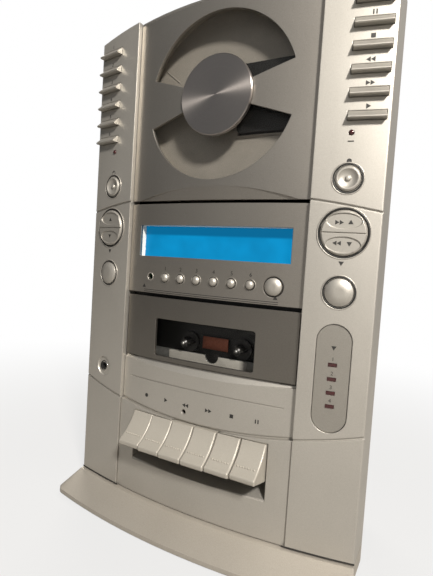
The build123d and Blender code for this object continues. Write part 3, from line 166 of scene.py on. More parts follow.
def speckled(
    name, light, dark, grain_mm, metallic, roughness,
    bump=0.1, edge_mm=0.3, roughness_spread=0.06, coat=0.0,
):
    """Sprayed or moulded surface: grain in colour, gloss and height, and softened edges.

    The grain is drawn coarser than real flakes and pores, so that it shows.
    """
    material, place = new_material(name)
    grain = noise(material, place, grain_mm * MM, 2.0)
    cloud = noise(material, place, CLOUD_SIZE, 1.0)
    # The mix node repeats its sockets' names, so they are given by number: 0 factor, 2 and 3 floats
    both = add_node(
        material,
        "ShaderNodeMix",
        values={0: 0.35},
        links={2: (grain, "Fac"), 3: (cloud, "Fac")},
    )
    colour = add_node(
        material,
        "ShaderNodeValToRGB",
        links={"Fac": (both, 0)},
        stops=((0.3, dark), (0.7, light)),
    )
    gloss = spread(material, grain, roughness - roughness_spread, roughness + roughness_spread)
    edge = add_node(material, "ShaderNodeBevel", {"samples": 4}, {"Radius": edge_mm * MM})
    height = add_node(
        material,
        "ShaderNodeBump",
        values={"Strength": bump, "Distance": GRAIN_HEIGHT},
        links={"Height": (grain, "Fac"), "Normal": (edge, "Normal")},
    )
    surface = add_node(
        material,
        "ShaderNodeBsdfPrincipled",
        values={"Metallic": metallic, "Coat Weight": coat},
        links={
            "Base Color": (colour, "Color"),
            "Roughness": (gloss, "Result"),
            "Normal": (height, "Normal"),
        },
    )
    add_node(material, "ShaderNodeOutputMaterial", links={"Surface": (surface, "BSDF")})
    return material


def silver_lacquer():
    """ABS sprayed with aluminium-flake lacquer: a soft sheen that darkens as it turns away."""
    return speckled(
        "sprayed_silver_lacquer", "#B9B5AE", "#AAA69F",
        grain_mm=0.5, metallic=0.75, roughness=0.48, bump=0.14, edge_mm=0.7,
    )


def door_lacquer():
    """Disc door and display panel: a darker, denser flake lacquer that mirrors the room more."""
    return speckled(
        "sprayed_graphite_silver_lacquer", "#A29D96", "#948F88",
        grain_mm=0.5, metallic=0.95, roughness=0.42, edge_mm=0.6,
    )


def cassette_door_lacquer():
    """The cassette door's coat of the same lacquer, glossier, and darkened with painted shade for
    the way its tilt turns it from the light.
    """
    return speckled(
        # The colours hold painted shade: the lacquer itself is the disc door's
        "sprayed_graphite_lacquer_painted_shade", "#827E78", "#75716B",
        grain_mm=0.5, metallic=0.95, roughness=0.4, edge_mm=0.6,
    )


def button_lacquer():
    """Flake lacquer over small domed mouldings, a little smoother than on the panels."""
    return speckled(
        "sprayed_button_lacquer", "#AFABA4", "#A29E97",
        grain_mm=0.4, metallic=0.72, roughness=0.46, edge_mm=0.5,
    )


def key_lacquer():
    """Piano keys: cream-silver lacquer with more pigment and less flake, soft and even."""
    return speckled(
        "sprayed_key_lacquer", "#A6A198", "#9B968D",
        grain_mm=0.5, metallic=0.35, roughness=0.45, edge_mm=0.7,
    )


def plate_lacquer():
    """The equalizer inlay: cooler, slightly darker flake lacquer."""
    return speckled(
        "sprayed_plate_lacquer", "#A5A19A", "#97938C",
        grain_mm=0.5, metallic=0.85, roughness=0.46, bump=0.12, edge_mm=0.5,
    )


def foot_plastic():
    """Moulded high-impact polystyrene foot, sprayed a warm grey with a fine even texture."""
    return speckled(
        "sprayed_foot_polystyrene", "#A9A39A", "#9B958C",
        grain_mm=0.6, metallic=0.45, roughness=0.46, bump=0.18, edge_mm=0.6,
    )


def cabinet_plastic():
    """Back cabinet in self-coloured polystyrene with a moulded spark texture: dark and matt."""
    return speckled(
        "textured_cabinet_polystyrene", "#5B5955", "#4C4A47",
        grain_mm=0.8, metallic=0.0, roughness=0.6, bump=0.7,
    )


def moulded_abs(name, light, dark, roughness=0.35):
    """Self-coloured ABS mouldings, lightly textured: an even plastic gloss with no flake."""
    return speckled(name, light, dark, grain_mm=0.6, metallic=0.0, roughness=roughness, bump=0.06)


def well_plastic():
    """The disc tray: silver-grey ABS, satin."""
    return speckled(
        "satin_tray_abs", "#A59F95", "#989288",
        grain_mm=0.5, metallic=0.35, roughness=0.42,
    )


def zinc_steel():
    """Zinc-plated pressed steel of chassis and flywheel, with its faint crystalline spangle."""
    return speckled(
        "zinc_plated_steel", "#A9A9A6", "#8C8C8A",
        grain_mm=2.0, metallic=0.9, roughness=0.38, bump=0.08,
    )


def copper_steel():
    """Spring-steel plate under copper-coloured lacquer: a dull, warm metal with uneven cover."""
    return speckled(
        "copper_lacquered_steel", "#A2614A", "#824A38",
        grain_mm=1.5, metallic=0.6, roughness=0.4, bump=0.15,
    )


def nickel_brass():
    """Turned brass under nickel plate: bright and sharp, with hardly any grain."""
    return speckled(
        "nickel_plated_brass", "#C9C5BE", "#B5B1AA",
        grain_mm=1.0, metallic=1.0, roughness=0.18, bump=0.03,
    )


def dust_gauze():
    """Black woven dust gauze, matt; its mesh is drawn coarser than real, so that it shows."""
    return speckled(
        "black_woven_gauze", "#1C1B1A", "#0D0D0C",
        grain_mm=1.0, metallic=0.0, roughness=0.9, bump=0.8, edge_mm=0.1,
    )


def black_acetal():
    """Acetal spindles: black, waxy and slightly glossy."""
    return speckled(
        "moulded_black_acetal", "#2A2927", "#1E1D1C",
        grain_mm=0.5, metallic=0.0, roughness=0.35,
    )


def circuit_board():
    """Glass-epoxy circuit board under green solder mask, darker between its copper fills."""
    return speckled(
        "green_solder_mask", "#1D5A33", "#123D22",
        grain_mm=2.5, metallic=0.0, roughness=0.3, bump=0.4,
    )


def pad_rubber():
    """Die-cut rubber pads, matt and near black."""
    return speckled(
        "die_cut_rubber", "#262524", "#191818",
        grain_mm=0.7, metallic=0.0, roughness=0.8, bump=0.5,
    )


def reflector_white():
    """White styrene light box around the display: bright, even and slightly satin."""
    return speckled(
        "white_styrene", "#DCDAD4", "#CFCDC7",
        grain_mm=0.6, metallic=0.0, roughness=0.45,
    )


def red_lens():
    """Dark-red acrylic lamp lens, unlit, under a glossy skin."""
    return speckled(
        "dark_red_acrylic", "#3A0A0D", "#290709",
        grain_mm=1.0, metallic=0.0, roughness=0.12, bump=0.02, edge_mm=0.2,
        roughness_spread=0.02, coat=0.6,
    )


def print_ink():
    """Pad-printed dark-grey ink with slightly uneven cover."""
    return speckled(
        "pad_printed_grey_ink", "#2B2927", "#1C1B1A",
        grain_mm=0.2, metallic=0.0, roughness=0.55, edge_mm=0.05,
    )


def smoked_sheet(name, tint, cover):
    """Moulded polystyrene window: it darkens what is behind it and mirrors bright things."""
    material, place = new_material(name)
    haze_spread = 0.04
    scuffs = noise(material, place, 12 * MM, 5.0, roughness=0.7)
    gloss = spread(material, scuffs, 0.03, 0.14)
    haze = spread(material, scuffs, cover - haze_spread, cover + haze_spread)
    surface = add_node(
        material,
        "ShaderNodeBsdfPrincipled",
        values={"Base Color": linear(tint), "IOR": 1.59},
        links={"Roughness": (gloss, "Result"), "Alpha": (haze, "Result")},
    )
    add_node(material, "ShaderNodeOutputMaterial", links={"Surface": (surface, "BSDF")})
    return material


def blue_display():
    """Blue negative display behind its diffuser, softly mottled, with painted shade that darkens
    its top strip.
    """
    material, place = new_material("backlit_blue_display")
    # The top strip is darkened by painted shade, which blends in from its lower edge upward
    shade_low, shade_full = 203.2 * MM, 205.2 * MM
    axes = add_node(material, "ShaderNodeSeparateXYZ", links={"Vector": (place, "Object")})
    top_shade = add_node(
        material,
        "ShaderNodeMapRange",
        {"interpolation_type": "SMOOTHSTEP"},
        values={"From Min": shade_low, "From Max": shade_full},
        links={"Value": (axes, "Z")},
    )
    mottle = noise(material, place, 22 * MM, 2.0)
    glow = add_node(
        material,
        "ShaderNodeValToRGB",
        links={"Fac": (mottle, "Fac")},
        stops=((0.3, "#0482B8"), (0.7, "#0694CF")),
    )
    # The deeper blue mixed in over the top strip is painted shade
    # Sockets 6 and 7 of the mix node are its two colours, and output 2 is the mixed one
    tone = add_node(
        material,
        "ShaderNodeMix",
        {"data_type": "RGBA"},
        values={7: linear("#036A99")},
        links={0: (top_shade, "Result"), 6: (glow, "Color")},
    )
    surface = add_node(
        material,
        "ShaderNodeBsdfPrincipled",
        values={
            "Base Color": linear("#03141D"),
            "Roughness": 0.2,
            "Specular IOR Level": 0.12,
            "Emission Strength": 0.97,
        },
        links={"Emission Color": (tone, 2)},
    )
    add_node(material, "ShaderNodeOutputMaterial", links={"Surface": (surface, "BSDF")})
    return material


def spun_aluminium():
    """Lathe-turned aluminium cap: concentric tool marks that gather light into spokes."""
    material, place = new_material("lathe_turned_aluminium")
    mark_spacing = 0.22 * MM
    centred = add_node(
        material,
        "ShaderNodeMapping",
        values={"Location": (0, 0, -DISC_HEIGHT)},
        links={"Vector": (place, "Object")},
    )
    axes = add_node(material, "ShaderNodeSeparateXYZ", links={"Vector": (centred, "Vector")})
    flat = add_node(material, "ShaderNodeCombineXYZ", links={"X": (axes, "X"), "Y": (axes, "Z")})
    radius = add_node(
        material, "ShaderNodeVectorMath", {"operation": "LENGTH"}, links={0: (flat, "Vector")}
    )
    marks = add_node(
        material,
        "ShaderNodeTexNoise",
        {"noise_dimensions": "1D"},
        values={"Scale": 1 / mark_spacing, "Detail": 3.0, "Roughness": 0.7},
        links={"W": (radius, "Value")},
    )
    height = add_node(
        material,
        "ShaderNodeBump",
        values={"Strength": 0.25, "Distance": GRAIN_HEIGHT},
        links={"Height": (marks, "Fac")},
    )
    colour = add_node(
        material,
        "ShaderNodeValToRGB",
        links={"Fac": (marks, "Fac")},
        stops=((0.0, "#7D7774"), (1.0, "#BDB6B1")),
    )
    around = add_node(material, "ShaderNodeTangent", {"direction_type": "RADIAL", "axis": "Y"})
    surface = add_node(
        material,
        "ShaderNodeBsdfPrincipled",
        values={
            "Metallic": 1.0,
            "Roughness": 0.3,
            "Anisotropic": 0.9,
            "Anisotropic Rotation": 0.25,
        },
        links={
            "Base Color": (colour, "Color"),
            "Normal": (height, "Normal"),
            "Tangent": (around, "Tangent"),
        },
    )
    add_node(material, "ShaderNodeOutputMaterial", links={"Surface": (surface, "BSDF")})
    return material


# Making and placing pieces


def deselect():
    """Leaves object mode and clears the selection."""
    if bpy.context.object and bpy.context.object.mode != "OBJECT":
        bpy.ops.object.mode_set(mode="OBJECT")
    bpy.ops.object.select_all(action="DESELECT")


def pick(piece):
    """Makes a piece the only one that is selected, and the active one."""
    deselect()
    piece.select_set(True)
    bpy.context.view_layer.objects.active = piece


def edit_all():
    """Goes into edit mode on the active piece with its whole mesh selected."""
    bpy.ops.object.mode_set(mode="EDIT")
    bpy.ops.mesh.select_all(action="SELECT")


def leave_edit():
    """Goes back to object mode."""
    bpy.ops.object.mode_set(mode="OBJECT")


def take(name):
    """Names the piece just added and returns it."""
    piece = bpy.context.object
    piece.name = name
    piece.data.name = name
    return piece


def apply_place(piece):
    """Moves the piece's place into its mesh."""
    pick(piece)
    bpy.ops.object.transform_apply(location=True, rotation=True, scale=True)


def thicken():
    """Extrudes the selected flat faces of the piece in edit mode into a plate of ink."""
    bpy.ops.mesh.extrude_region_move(TRANSFORM_OT_translate={"value": (0, 0, INK_THICKNESS)})
    bpy.ops.mesh.select_all(action="SELECT")
    bpy.ops.mesh.normals_make_consistent(inside=False)


def flat_polygon(corners, radius, turn=0.0, at_x=0.0):
    """Thin plate with a regular outline, lying in its own XY plane."""
    deselect()
    bpy.ops.mesh.primitive_circle_add(
        vertices=corners, radius=radius, fill_type="NGON", rotation=(0, 0, turn)
    )
    piece = take("plate")
    apply_place(piece)
    edit_all()
    bpy.ops.transform.translate(value=(at_x, 0, 0))
    thicken()
    leave_edit()
    return piece


def flat_strip(width, height, at_x=0.0, at_y=0.0, cuts=0):
    """Thin rectangular plate, cut along its length so that it can follow the bow."""
    deselect()
    bpy.ops.mesh.primitive_plane_add(size=1)
    piece = take("strip")
    edit_all()
    bpy.ops.transform.resize(value=(width, height, 1))
    bpy.ops.transform.translate(value=(at_x, at_y, 0))
    thicken()
    for cut in range(1, cuts):
        bpy.ops.mesh.select_all(action="SELECT")
        x = at_x - width / 2 + width * cut / cuts
        bpy.ops.mesh.bisect(plane_co=(x, 0, 0), plane_no=(1, 0, 0))
    leave_edit()
    return piece


def turned_ring(inner, outer, proud):
    """Ring with a rounded section, spun from an octagon, lying in its own XY plane."""
    deselect()
    half_width = (outer - inner) / 2
    bpy.ops.mesh.primitive_circle_add(
        vertices=8,
        radius=half_width,
        location=(inner + half_width, 0, 0),
        rotation=(math.pi / 2, 0, math.pi),
    )
    ring = take("ring")
    apply_place(ring)
    edit_all()
    bpy.ops.transform.resize(value=(1, 1, proud / half_width))
    bpy.ops.mesh.spin(steps=RING_STEPS, angle=2 * math.pi, center=(0, 0, 0), axis=(0, 0, 1))
    bpy.ops.mesh.select_all(action="SELECT")
    bpy.ops.mesh.remove_doubles(threshold=1e-6)
    bpy.ops.mesh.normals_make_consistent(inside=False)
    leave_edit()
    bpy.ops.object.shade_smooth()
    return ring


def flat_words(words, size):
    """Plain numbers as a thin plate, centred on their own origin."""
    deselect()
    bpy.ops.object.text_add()
    text = bpy.context.object
    text.data.body = words
    text.data.size = size
    text.data.align_x = "CENTER"
    text.data.align_y = "CENTER"
    text.data.extrude = INK_THICKNESS / 2
    text.data.resolution_u = 3
    bpy.ops.object.convert(target="MESH")
    piece = take("words")
    edit_all()
    bpy.ops.mesh.remove_doubles(threshold=1e-7)
    bpy.ops.transform.translate(value=(0, 0, INK_THICKNESS / 2))
    leave_edit()
    return piece


def lay_on_bow(piece, x, z, sink=0.0):
    """Wraps a flat plate onto the bowed face, its middle at x and z."""
    for vertex in piece.data.vertices:
        across, up, out = vertex.co
        vertex.co = (x + across, bow_y(x + across, sink) - out, z + up)
    return piece


def lay_on_tangent(piece, x, z, proud=0.0):
    """Lays a flat plate on the plane that touches the bow at x, proud metres outside it."""
    angle = math.asin(x / BOW_RADIUS)
    out_way = Vector((math.sin(angle), -math.cos(angle), 0))
    piece.location = Vector((x, bow_y(x), z)) + out_way * proud
    piece.rotation_euler = (math.pi / 2, 0, angle)
    apply_place(piece)
    return piece


def box_piece(low, high, bevel):
    """Block between two corners with all its edges rounded."""
    deselect()
    middle = [(a + b) / 2 for a, b in zip(low, high)]
    sides = [b - a for a, b in zip(low, high)]
    bpy.ops.mesh.primitive_cube_add(size=1, location=middle, scale=sides)
    block = take("block")
    apply_place(block)
    edit_all()
    bpy.ops.mesh.bevel(offset=bevel, segments=2, affect="EDGES")
    leave_edit()
    bpy.ops.object.shade_smooth_by_angle(angle=math.radians(40))
    return block


def bore(piece, x, z, radius):
    """Cuts a round hole right through a piece along Y with a Boolean modifier."""
    deselect()
    bpy.ops.mesh.primitive_cylinder_add(
        vertices=RING_STEPS,
        radius=radius,
        depth=200 * MM,
        location=(x, 0, z),
        rotation=(math.pi / 2, 0, 0),
    )
    cutter = take("cutter")
    modifier = piece.modifiers.new("bore", "BOOLEAN")
    modifier.operation = "DIFFERENCE"
    modifier.solver = "EXACT"
    modifier.object = cutter
    pick(piece)
    bpy.ops.object.modifier_apply(modifier=modifier.name)
    bpy.data.objects.remove(cutter, do_unlink=True)


def turned_piece(profile, centre):
    """Solid of revolution about a line along Y through centre, from radii and depths in mm."""
    x, y, z = centre
    points = [(radius * MM, y + depth * MM) for radius, depth in profile]
    deselect()
    bpy.ops.mesh.primitive_plane_add(size=1 * MM, location=(x + points[0][0], points[0][1], z))
    piece = take("turned")
    apply_place(piece)
    edit_all()
    bpy.ops.mesh.merge(type="CENTER")
    for (radius, depth), (next_radius, next_depth) in zip(points, points[1:]):
        step = (next_radius - radius, next_depth - depth, 0)
        bpy.ops.mesh.extrude_region_move(TRANSFORM_OT_translate={"value": step})
    bpy.ops.mesh.select_all(action="SELECT")
    bpy.ops.mesh.spin(steps=RING_STEPS, angle=2 * math.pi, center=(x, 0, z), axis=(0, 1, 0))
    bpy.ops.mesh.select_all(action="SELECT")
    bpy.ops.mesh.remove_doubles(threshold=1e-6)
    bpy.ops.mesh.normals_make_consistent(inside=False)
    leave_edit()
    bpy.ops.object.shade_smooth_by_angle(angle=math.radians(35))
    return piece


def copy_to(piece, offset):
    """Copy of a piece with its own mesh, offset metres away."""
    pick(piece)
    bpy.ops.object.duplicate(linked=False)
    twin = bpy.context.object
    twin.location = offset
    apply_place(twin)
    return twin


def finish_piece(name, pieces, material, body="cabinet"):
    """Joins pieces into one, with its name, finish and the body it rides on."""
    pick(pieces[0])
    for other in pieces[1:]:
        other.select_set(True)
    if len(pieces) > 1:
        bpy.ops.object.join()
    piece = take(name)
    piece.data.materials.clear()
    piece.data.materials.append(material)
    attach(piece, body)


def print_marks(name, plates, body="cabinet"):
    """Joins flat plates into one printed piece."""
    finish_piece(name, plates, bpy.data.materials["pad_printed_grey_ink"], body)


# Marks drawn as plain figures

MARK_SIZE = 1.75 * MM
PAIR_SIZE = 1.6 * MM
PAIR_OFFSET = 1.25 * MM


def triangle(way=0.0, size=MARK_SIZE, at_x=0.0):
    """Filled triangle that points right, or where way turns it."""
    return flat_polygon(3, size, turn=way - math.pi / 2, at_x=at_x)


def mark_record():
    """Round dot."""
    return [flat_polygon(20, 1.4 * MM)]


def mark_play():
    """One triangle that points right."""
    return [triangle()]


def mark_rewind():
    """Two triangles that point left."""
    return [triangle(math.pi, PAIR_SIZE, side * PAIR_OFFSET) for side in SIDES]


def mark_forward():
    """Two triangles that point right."""
    return [triangle(0.0, PAIR_SIZE, side * PAIR_OFFSET) for side in SIDES]


def mark_stop():
    """Filled square."""
    return [flat_polygon(4, MARK_SIZE, turn=math.pi / 4)]


def mark_pause():
    """Two upright bars."""
    return [flat_strip(0.75 * MM, 2.6 * MM, side * 0.85 * MM) for side in SIDES]


def mark_up():
    """Triangle that points up."""
    return [triangle(math.pi / 2)]


def mark_down():
    """Triangle that points down."""
    return [triangle(-math.pi / 2)]


KEY_MARKS = (mark_record, mark_play, mark_rewind, mark_forward, mark_stop, mark_pause)
BAR_MARKS = (mark_up, mark_pause, mark_stop, mark_rewind, mark_forward, mark_play)


class PlayerSettings(bpy.types.PropertyGroup):
    """Sizes and light levels that a user would change."""

    mark_height: bpy.props.FloatProperty(
        name="Number height",
        description="Height of the printed numbers",
        default=3.7 * MM,
        unit="LENGTH",
    )
    key_mark_height: bpy.props.FloatProperty(
        name="Key mark height",
        description="Height on the panel of the marks over the piano keys",
        default=86.7 * MM,
        unit="LENGTH",
    )
    rib_dot_radius: bpy.props.FloatProperty(
        name="Key dot radius",
        description="Radius of the raised dots on the piano keys",
        default=0.65 * MM,
        unit="LENGTH",
    )
    floor_colour: bpy.props.FloatVectorProperty(
        name="Floor colour",
        description="Colour of the plain floor",
        subtype="COLOR",
        size=4,
        default=linear("#8D8B88"),
    )
    key_light: bpy.props.FloatProperty(
        name="Key light",
        description="Power of the main lamp, upper right",
        default=44.0,
        unit="POWER",
    )
    room_light: bpy.props.FloatProperty(
        name="Room light",
        description="Strength of the room's soft light, which is brighter from the right",
        default=0.2,
    )


class PLAYER_OT_stage(bpy.types.Operator):
    """Sets the floor, the lights and the camera"""

    bl_idname = "player.stage"
    bl_label = "Stage"

    def execute(self, context):
        settings = context.scene.player
        self.add_floor(settings.floor_colour)
        self.add_world(settings.room_light)
        self.add_lamps(settings.key_light)
        self.add_camera()
        context.scene.view_settings.view_transform = "Standard"
        return {"FINISHED"}

    def add_floor(self, colour):
        """Pale paper floor, which the camera sees fade to white away from the object."""
        deselect()
        bpy.ops.mesh.primitive_plane_add(size=6.0)
        floor = take("studio_floor")
        edit_all()
        bpy.ops.mesh.subdivide(number_cuts=1)
        leave_edit()
        material, place = new_material("pale_paper_floor")
        fibre = noise(material, place, 3 * MM, 3.0)
        rough = spread(material, fibre, 0.75, 0.9)
        paper = add_node(
            material,
            "ShaderNodeBsdfPrincipled",
            values={"Base Color": tuple(colour)},
            links={"Roughness": (rough, "Result")},
        )
        white = add_node(
            material, "ShaderNodeEmission", values={"Color": (1, 1, 1, 1), "Strength": 1.0}
        )
        reach = add_node(
            material, "ShaderNodeVectorMath", {"operation": "LENGTH"}, links={0: (place, "Object")}
        )
        fade = add_node(
            material,
            "ShaderNodeMapRange",
            {"interpolation_type": "SMOOTHSTEP"},
            values={"From Min": 0.15, "From Max": 0.75, "To Min": 0.72},
            links={"Value": (reach, "Value")},
        )
        ray = add_node(material, "ShaderNodeLightPath")
        share = add_node(
            material,
            "ShaderNodeMath",
            {"operation": "MULTIPLY"},
            links={0: (ray, "Is Camera Ray"), 1: (fade, "Result")},
        )
        mix = add_node(
            material,
            "ShaderNodeMixShader",
            links={0: (share, "Value"), 1: (paper, "BSDF"), 2: (white, "Emission")},
        )
        add_node(material, "ShaderNodeOutputMaterial", links={"Surface": (mix, "Shader")})
        floor.data.materials.append(material)

    def add_world(self, room_light):
        """Room light that falls off away from its bright side; the camera sees plain white."""
        world = bpy.data.worlds.new("soft_room")
        bpy.context.scene.world = world
        world.use_nodes = True
        world.node_tree.nodes.clear()
        bright_side = Vector((0.8, -0.4, 0.45)).normalized()
        place = add_node(world, "ShaderNodeTexCoord")
        slope = add_node(
            world,
            "ShaderNodeVectorMath",
            {"operation": "DOT_PRODUCT"},
            values={1: bright_side},
            links={0: (place, "Generated")},
        )
        level = add_node(
            world,
            "ShaderNodeMapRange",
            {"interpolation_type": "SMOOTHSTEP"},
            values={"From Min": -0.7, "From Max": 0.85, "To Min": 0.2, "To Max": 2.8},
            links={"Value": (slope, "Value")},
        )
        strength = add_node(
            world,
            "ShaderNodeMath",
            {"operation": "MULTIPLY"},
            values={1: room_light},
            links={0: (level, "Result")},
        )
        tint = add_node(
            world,
            "ShaderNodeValToRGB",
            links={"Fac": (slope, "Value")},
            stops=((0.0, "#E4E8EC"), (1.0, "#FFF8EE")),
        )
        room = add_node(
            world,
            "ShaderNodeBackground",
            links={"Color": (tint, "Color"), "Strength": (strength, "Value")},
        )
        white = add_node(
            world, "ShaderNodeBackground", values={"Color": (1, 1, 1, 1), "Strength": 1.0}
        )
        ray = add_node(world, "ShaderNodeLightPath")
        mix = add_node(
            world,
            "ShaderNodeMixShader",
            links={0: (ray, "Is Camera Ray"), 1: (room, "Background"), 2: (white, "Background")},
        )
        add_node(world, "ShaderNodeOutputWorld", links={"Surface": (mix, "Shader")})

    def add_lamps(self, key_light):
        """Key lamp at the upper right of the front, and a wider lamp at half power behind."""
        target = Vector((0, 0, 0.2))
        lamps = (
            ("key_lamp", Vector((1, -1, 1)).normalized() * 1.5, 0.2, key_light),
            ("back_lamp", Vector((-0.8, 1.0, 0.9)).normalized() * 1.8, 0.9, key_light * 0.5),
        )
        for name, offset, size, power in lamps:
            deselect()
            bpy.ops.object.light_add(type="AREA", location=target + offset)
            lamp = bpy.context.object
            lamp.name = name
            lamp.data.shape = "DISK"
            lamp.data.size = size
            lamp.data.energy = power
            lamp.data.color = linear("#FFFAF2")[:3]
            lamp.rotation_euler = (-offset).to_track_quat("-Z", "Y").to_euler()

    def add_camera(self):
        """Camera at the photograph's place, turn (in radians) and focal length."""
        place = Vector((146.8 * MM, FRONT_Y - 252.4 * MM, 185.3 * MM))
        yaw, pitch, roll = -0.4926, 0.0540, 0.0641
        focal_pixels, image_height, sensor = 440.0, 576.0, 36.0
        forward = Vector(
            (math.sin(yaw) * math.cos(pitch), math.cos(yaw) * math.cos(pitch), -math.sin(pitch))
        )
        level = forward.cross(Vector((0, 0, 1))).normalized()
        upright = level.cross(forward)
        right = level * math.cos(roll) + upright * math.sin(roll)
        up = upright * math.cos(roll) - level * math.sin(roll)
        deselect()
        bpy.ops.object.camera_add()
        camera = bpy.context.object
        camera.name = "photo_camera"
        camera.data.lens = sensor * focal_pixels / image_height
        camera.data.sensor_width = sensor
        camera.data.clip_start = 0.01
        turn = Matrix((right, up, -forward)).transposed().to_4x4()
        camera.matrix_world = Matrix.Translation(place) @ turn
        bpy.context.scene.camera = camera


class PLAYER_OT_finishes(bpy.types.Operator):
    """Gives every node of the frame its finish, and makes the ink for the marks"""

    bl_idname = "player.finishes"
    bl_label = "Finishes"

    def execute(self, context):
        silver = silver_lacquer()
        button = button_lacquer()
        key = key_lacquer()
        black = moulded_abs("moulded_black_abs", "#1B1A19", "#121211", roughness=0.45)
        steel = zinc_steel()
        door = door_lacquer()
        spindle = black_acetal()
        print_ink()
        finishes = {
            "left_side_panel": silver,
            "right_side_panel": silver,
            "lower_panel": silver,
            "display_panel": door,
            "cd_door": door,
            "cassette_door": cassette_door_lacquer(),
            "rear_cabinet": cabinet_plastic(),
            "base_foot": foot_plastic(),
            "foot_pads": pad_rubber(),
            "case_screws": steel,
            "lcd_frame": reflector_white(),
            "lcd_glass": blue_display(),
            "cd_well": well_plastic(),
            "cd_door_window": smoked_sheet("tinted_polystyrene_window", "#1B1A19", 0.12),
            "cassette_window": smoked_sheet("smoked_polystyrene_window", "#0E0E0E", 0.06),
            "cd_door_cap": spun_aluminium(),
            "tape_chassis": steel,
            "capstan_flywheel": steel,
            "head_bridge": steel,
            "supply_spindle": spindle,
            "take_up_spindle": spindle,
            "equalizer_plate": plate_lacquer(),
            "indicator_lenses": red_lens(),
            "circuit_boards": circuit_board(),
        }
        for name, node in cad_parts.items():
            if name in finishes:
                finish = finishes[name]
            elif name.endswith("_key"):
                finish = key
            elif "button" in name or "rocker" in name:
                finish = button
            else:
                finish = black
            node.data.materials.clear()
            node.data.materials.append(finish)
        return {"FINISHED"}


class PLAYER_OT_panel_marks(bpy.types.Operator):
    """Prints the marks and numbers on the fixed panels"""

    bl_idname = "player.panel_marks"
    bl_label = "Panel marks"

    def execute(self, context):
        settings = context.scene.player
        self.add_key_marks(settings.key_mark_height)
        self.add_preset_marks(settings.mark_height)
        self.add_bar_marks(settings.mark_height)
        self.add_control_marks()
        self.add_foot_seam()
        self.add_equalizer_marks()
        return {"FINISHED"}

    def add_key_marks(self, height):
        """Transport marks over the piano keys."""
        plates = []
        for column, mark in enumerate(KEY_MARKS):
            x = row_x(column, len(KEY_MARKS), KEY_PITCH)
            plates += [lay_on_bow(flat, x, height, CENTRE_SINK) for flat in mark()]
        print_marks("key_marks", plates)

    def add_preset_marks(self, size):
        """Numbers over the presets, and a double rule with two arrows under them."""
        number_height = PRESET_HEIGHT + 6.4 * MM
        plates = []
        for number in range(PRESETS):
            word = flat_words(str(number + 1), size)
            x = row_x(number, PRESETS, PRESET_PITCH)
            plates.append(lay_on_bow(word, x, number_height, CENTRE_SINK))
        print_marks("preset_numbers", plates)

        rule_height, rule_gap = 163.9 * MM, 1.3 * MM
        arrow_height = rule_height + 2.4 * MM
        plates = []
        for z in (rule_height, rule_height - rule_gap):
            rule = flat_strip(104 * MM, 0.35 * MM, cuts=24)
            plates.append(lay_on_bow(rule, 0, z, CENTRE_SINK))
        for x in (-52 * MM, 50 * MM):
            plates += [lay_on_bow(flat, x, arrow_height, CENTRE_SINK) for flat in mark_up()]
        print_marks("preset_rule", plates)

    def add_bar_marks(self, size):
        """Numbers over the left bars and transport marks over the right ones."""
        for side, name in zip(SIDES, ("left", "right")):
            plates = []
            for row in range(BAR_ROWS):
                z = BAR_TOP_ROW - BAR_PITCH * row + BAR_MARK_RISE
                flats = [flat_words(str(row + 1), size)] if side < 0 else BAR_MARKS[row]()
                plates += [lay_on_bow(flat, side * BAR_X, z) for flat in flats]
            print_marks(f"{name}_bar_marks", plates)

    def add_control_marks(self):
        """Bar under the right lamp, and marks over the small knobs and under the rockers."""
        lamp_mark, power_mark = 260.6 * MM, 249.6 * MM
        alarm_mark, rocker_mark = 249.4 * MM, 190.6 * MM
        plates = [lay_on_bow(flat_strip(3.4 * MM, 0.7 * MM), CONTROL_X, lamp_mark)]
        ring = turned_ring(1.35 * MM, 1.8 * MM, INK_THICKNESS)
        stem = flat_strip(0.5 * MM, 2.0 * MM, at_y=1.1 * MM)
        plates += [lay_on_bow(flat, -CONTROL_X, power_mark) for flat in (ring, stem)]
        plates += [lay_on_bow(flat, CONTROL_X, alarm_mark) for flat in mark_record()]
        for side in SIDES:
            plates += [lay_on_bow(flat, side * CONTROL_X, rocker_mark) for flat in mark_down()]
        print_marks("control_marks", plates)

    def add_foot_seam(self):
        """Painted shade: a dark strip of ink along the gap between the foot and the panels that
        stand on it.
        """
        seam_height, seam = 13.3 * MM, 1.0 * MM
        # The ink strip is painted shade in the gap
        strip = flat_strip(127.6 * MM, seam, cuts=32)
        plates = [lay_on_bow(strip, 0, seam_height, CENTRE_SINK)]
        for side in SIDES:
            strip = flat_strip(43.0 * MM, seam, cuts=12)
            plates.append(lay_on_bow(strip, side * 87.4 * MM, seam_height))
        print_marks("foot_seam_painted_shade", plates)

    def add_equalizer_marks(self):
        """Numbers over the equalizer's lamps, on its sunk plate."""
        number_rise, arrow_height = 3.4 * MM, 140.5 * MM
        plates = []
        for number, z in enumerate(EQUALIZER_LAMPS, start=1):
            word = flat_words(str(number), 3.2 * MM)
            plates.append(lay_on_tangent(word, EQUALIZER_X, z + number_rise, -EQUALIZER_SINK))
        for arrow in mark_down():
            plates.append(lay_on_tangent(arrow, EQUALIZER_X, arrow_height, -EQUALIZER_SINK))
        print_marks("equalizer_marks", plates)


